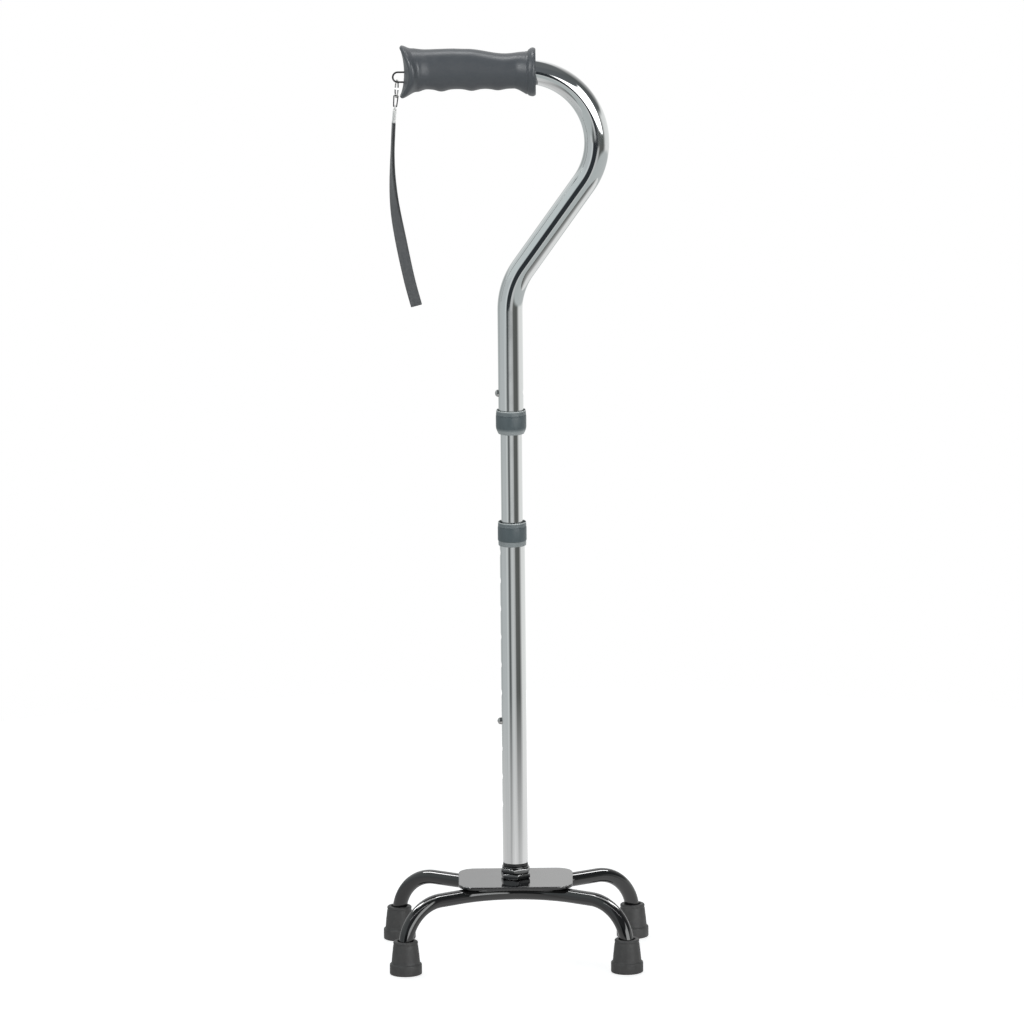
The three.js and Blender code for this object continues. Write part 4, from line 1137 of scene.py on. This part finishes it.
# Painted light and shade of the weave: paler on the thread tops, darker in the hollows.
lit = mixed(tree, height, WEAVE_HOLLOW_SHADE, WEAVE_TOP_LIGHT)
selvedge = share_between(tree, math_node(tree, "ABSOLUTE", split["X"]), 4.1, 4.9)
lit = mixed(tree, math_node(tree, "MULTIPLY", selvedge, 0.6), lit, SELVEDGE_DARK)
fuzz = placed_group(tree, dust_group, Amount=0.08, Surface=lit, Patch_size_mm=3.0)
tree.links.new(fuzz.outputs["Color"], shader.inputs["Base Color"])
bump(tree, shader, height, 0.25, 0.9)
strap_piece = finish_piece(strap, "wrist_strap_look", webbing, "strap", "webbing",
                           "wrist_strap", sharp=60)
print("strap flat length, mm:", round(flat_length, 1))

# %% [markdown]
# ## The room
# Polished metal shows the room more than itself, so the room is painted with care. It is five
# belts stacked by height: ground, low wall, eye-level wall, upper wall and ceiling. The shade of
# each belt changes as one turns round, and the dark stretches become the dark lines down the
# tubes. A leaning softbox stands in front on the right. The camera sees plain white instead, by
# the world's Light Path.

# %% Room painted by direction
scene = bpy.context.scene
scene.view_settings.view_transform = "Standard"
world = bpy.data.worlds.new("Studio")
scene.world = world
world.use_nodes = True
room = world.node_tree
room.nodes.clear()


def angle_round(tree, axes):
    """The angle round the cane: 0 towards the viewer, growing towards +X."""
    toward = math_node(tree, "MULTIPLY", axes["Y"], -1.0)
    return math_node(tree, "ARCTAN2", axes["X"], toward)


def belt(tree, angle, stops):
    """A ramp round the cane. Stops are (degrees, grey or colour)."""
    share = math_node(tree, "MULTIPLY_ADD", angle, 1 / FULL_TURN, 0.5)
    return ramp(tree, share, [(degrees / 360 + 0.5, shade) for degrees, shade in stops])


direction = add(room, "ShaderNodeTexCoord").outputs["Generated"]
axes = add(room, "ShaderNodeSeparateXYZ", {0: direction}).outputs
azimuth = angle_round(room, axes)


def rising(low, high):
    """0 below one elevation in degrees, 1 above another."""
    low, high = (math.sin(math.radians(degrees)) for degrees in (low, high))
    return share_between(room, axes["Z"], low, high, soft=True)


def window(value, low, high, edge):
    """1 while a value is between two limits, with soft edges."""
    opens = share_between(room, value, low - edge, low + edge, soft=True)
    closes = share_between(room, value, high + edge, high - edge, soft=True)
    return math_node(room, "MULTIPLY", opens, closes)


COOL = (0.50, 0.53, 0.535)
GROUND = ((-180, (0.52, 0.55, 0.55)), (0, (0.46, 0.50, 0.50)), (180, (0.55, 0.57, 0.57)))
LOW_WALL = (
    (-180, (0.72, 0.74, 0.74)), (-128, (0.40, 0.43, 0.43)), (-110, COOL), (-62, COOL),
    (-50, (0.66, 0.69, 0.69)), (-40, (0.40, 0.42, 0.42)), (-33, (0.11, 0.12, 0.12)),
    (-22, (0.13, 0.14, 0.14)), (-13, (0.52, 0.54, 0.54)), (0, (0.62, 0.64, 0.64)),
    (18, (0.50, 0.51, 0.51)), (28, (0.12, 0.125, 0.12)), (62, (0.10, 0.105, 0.10)),
    (76, (0.42, 0.425, 0.42)), (88, (0.80, 0.81, 0.80)), (150, (0.86, 0.87, 0.86)),
    (180, (0.95, 0.96, 0.95)),
)
EYE_WALL = (
    (-180, (0.85, 0.86, 0.86)), (-128, (0.35, 0.38, 0.38)), (-100, COOL),
    (-50, (0.52, 0.56, 0.57)), (-38, (0.70, 0.74, 0.75)), (-31, (0.03, 0.035, 0.04)),
    (7, (0.03, 0.035, 0.04)), (16, (0.12, 0.13, 0.13)), (62, (0.10, 0.11, 0.105)),
    (74, (0.42, 0.43, 0.425)), (86, (0.76, 0.78, 0.77)), (150, (0.90, 0.91, 0.90)),
    (180, (1.15, 1.16, 1.15)),
)
UPPER_WALL = (
    (-180, (1.2, 1.2, 1.2)), (-150, (0.9, 0.92, 0.92)), (-120, (0.6, 0.64, 0.64)),
    (-40, (0.58, 0.64, 0.65)), (-25, (0.16, 0.17, 0.18)), (10, (0.12, 0.13, 0.14)),
    (100, (0.10, 0.11, 0.11)), (140, (0.5, 0.5, 0.5)), (165, (1.0, 1.0, 1.0)),
    (180, (1.2, 1.2, 1.2)),
)
CEILING = (0.14, 0.15, 0.155)
SOFTBOX_WHITE = (3.4, 3.45, 3.45)

# Each belt gives way to the next between two elevations in degrees.
BORDERS = (((-17, -13.2), LOW_WALL), ((-10.9, -9.8), EYE_WALL), ((9, 17), UPPER_WALL))
seen = belt(room, azimuth, GROUND)
for border, stops in BORDERS:
    seen = mixed(room, rising(*border), seen, belt(room, azimuth, stops))
seen = mixed(room, rising(48, 62), seen, CEILING)

# The softbox leans: its top edge climbs towards the right.
LEAN, TOP_EDGE, TOP_FULL = -0.42, 0.19, 0.11
lean = math_node(room, "MULTIPLY_ADD", azimuth, LEAN, axes["Z"])
under_top = share_between(room, lean, TOP_EDGE, TOP_FULL, soft=True)
sideways = window(azimuth, math.radians(9), math.radians(60), math.radians(2))
softbox_mask = math_node(room, "MULTIPLY", sideways, under_top)
softbox_mask = math_node(room, "MULTIPLY", softbox_mask, rising(-4.2, -2.8))
seen = mixed(room, softbox_mask, seen, SOFTBOX_WHITE)
white_wall = add(room, "ShaderNodeBackground", {"Color": (1, 1, 1, 1), "Strength": 1.0})
painted = add(room, "ShaderNodeBackground", {"Color": seen, "Strength": 1.0})
camera_ray = add(room, "ShaderNodeLightPath").outputs["Is Camera Ray"]
choose = add(room, "ShaderNodeMixShader", {
    0: camera_ray, 1: painted.outputs[0], 2: white_wall.outputs[0],
})
add(room, "ShaderNodeOutputWorld", {"Surface": choose.outputs[0]})

# %% [markdown]
# ## The floor
# The floor is a pale disc. The camera sees it as nearly white, with the cane's soft shadow. To
# the mirrors it glows with bands of its own: far out they are the low wall's, so that floor and
# wall meet without a seam, and close to the cane they are lighter.

# %% Floor
FLOOR_R, FLOOR_DROP = 1.1, 0.0003
FAR, NEAR = 1.1, 0.4
NEAR_FLOOR = (
    (-180, 0.80), (-100, 0.62), (-50, 0.58), (-34, 0.46), (-20, 0.66), (0, 0.76),
    (22, 0.70), (36, 0.52), (56, 0.58), (80, 0.80), (150, 0.86), (180, 0.84),
)
floor_shape = bmesh.new()
bmesh.ops.create_circle(floor_shape, cap_ends=True, segments=128, radius=FLOOR_R)
bmesh.ops.translate(floor_shape, verts=floor_shape.verts, vec=(0, 0, -FLOOR_DROP))
floor_mesh = bpy.data.meshes.new("floor")
floor_shape.to_mesh(floor_mesh)
floor_shape.free()
floor = bpy.data.objects.new("floor", floor_mesh)
scene.collection.objects.link(floor)
floor_material, tree, shader = new_material("Pale floor", Roughness=0.9, Specular_IOR_Level=0.1)
floor_mesh.materials.append(floor_material)
mottled = placed_group(tree, marks_group, Clean=0.80, Smudged=0.84, Patch_size_mm=400.0)
tree.links.new(mottled.outputs["Roughness"], shader.inputs["Base Color"])
glow = add(tree, "ShaderNodeEmission", {"Color": (1, 1, 1, 1), "Strength": 0.74})
lifted = add(tree, "ShaderNodeAddShader", {0: shader.outputs[0], 1: glow.outputs[0]})

on_floor = add(tree, "ShaderNodeTexCoord").outputs["Object"]
turn = angle_round(tree, add(tree, "ShaderNodeSeparateXYZ", {0: on_floor}).outputs)
distance = add(tree, "ShaderNodeVectorMath", {0: on_floor}, operation="LENGTH").outputs["Value"]
how_near = share_between(tree, distance, FAR, NEAR)
bands = mixed(tree, how_near, belt(tree, turn, LOW_WALL), belt(tree, turn, NEAR_FLOOR))
mirrored = add(tree, "ShaderNodeEmission", {"Color": bands, "Strength": 1.0})
seen_directly = add(tree, "ShaderNodeLightPath").outputs["Is Camera Ray"]
floor_mix = add(tree, "ShaderNodeMixShader", {
    0: seen_directly, 1: mirrored.outputs[0], 2: lifted.outputs[0],
})
tree.links.new(floor_mix.outputs[0], tree.nodes["Material Output"].inputs["Surface"])

# %% [markdown]
# ## The lights
# A lamp close by would leave hard white patches on the polished tubes, so each light falls only
# on chosen pieces. The soft pieces get a key, a fill and an overhead light. The painted pieces
# get long strips, whose reflections are the pale lines along the legs.

# %% Lights
def softbox(name, place, aim, size, power):
    """A soft rectangular light that points at a place."""
    light = bpy.data.lights.new(name, "AREA")
    light.shape = "RECTANGLE"
    light.size, light.size_y = size
    light.energy = power
    made = bpy.data.objects.new(name, light)
    scene.collection.objects.link(made)
    made.location = place
    made.rotation_euler = (Vector(aim) - Vector(place)).to_track_quat("-Z", "Y").to_euler()
    return made


def only_for(light, words):
    """Lets a light fall only on the pieces whose names hold one of some words."""
    group = bpy.data.collections.new(f"{light.name} lit")
    for piece in made_pieces:
        if any(word in piece.name for word in words):
            group.objects.link(piece)
    light.light_linking.receiver_collection = group


SOFT = ["grip", "tip", "ring_look", "ferrule", "wrist_strap", "base_plate"]
PAINTED = ["leg", "weld", "nut", "washer", "base_plate", "stem_plug"]
STRIP_Z, STRIP_TURN = 1.2, math.radians(37)
# Each light is (name, place, aim, size, power in watts, pieces it falls on).
LIGHTS = (
    ("key_left", (-1.5, -1.5, 1.9), (-0.03, 0, 0.7), (0.5, 0.8), 24, SOFT),
    ("fill_right", (1.3, -1.7, 1.8), (0, 0, 0.75), (0.4, 0.7), 12, SOFT),
    ("overhead", (0.0, 0.35, 2.4), (0, 0, 0.6), (1.2, 0.35), 13, SOFT),
    ("strip_front", (0, -0.95, STRIP_Z), (0, -0.95, 0), (1.8, 0.07), 2.2, PAINTED),
    ("strip_above", (0, 0.05, 1.6), (0, 0.05, 0), (1.4, 0.45), 9.0, PAINTED),
)
for *settings, words in LIGHTS:
    only_for(softbox(*settings), words)
for hand, sign in (("left", -1), ("right", 1)):
    x, y = sign * 0.74, 0.42
    strip = softbox(f"strip_{hand}", (x, y, STRIP_Z), (x, y, 0), (1.0, 0.24), 12.5)
    strip.rotation_euler = (0, 0, sign * STRIP_TURN)
    only_for(strip, PAINTED)
print("lights:", len(bpy.data.lights))

# %% [markdown]
# ## The camera
# A long lens from far away keeps the uprights nearly parallel. The camera stands a little above
# the middle of the cane and looks slightly down, with a hair of roll.

# %% Camera
CAMERA_DISTANCE = 10.0
CAMERA_ELEVATION = math.radians(11.5)
CAMERA_ROLL = math.radians(0.57)
AIM = Vector((0, 0, 0.4028))
FRAME_WIDTH, SENSOR_WIDTH = 0.906, 36.0

camera_data = bpy.data.cameras.new("camera")
camera = bpy.data.objects.new("camera", camera_data)
scene.collection.objects.link(camera)
scene.camera = camera
back = Vector((0, -math.cos(CAMERA_ELEVATION), math.sin(CAMERA_ELEVATION)))
camera.location = AIM + back * CAMERA_DISTANCE
look = (-back).to_track_quat("-Z", "Y")
camera.rotation_mode = "QUATERNION"
camera.rotation_quaternion = look @ Matrix.Rotation(-CAMERA_ROLL, 4, "Z").to_quaternion()
camera_data.sensor_width = SENSOR_WIDTH
camera_data.lens = SENSOR_WIDTH * CAMERA_DISTANCE / FRAME_WIDTH
camera_data.clip_end = 60.0
print("lens, mm:", round(camera_data.lens, 1))

# %% [markdown]
# ## Wrap up
# The scene is brought up to date, and the number of pieces and of their faces is printed.

# %% Count of pieces and faces
bpy.context.view_layer.update()
print("pieces:", len(made_pieces), "faces:", sum(len(p.data.polygons) for p in made_pieces))
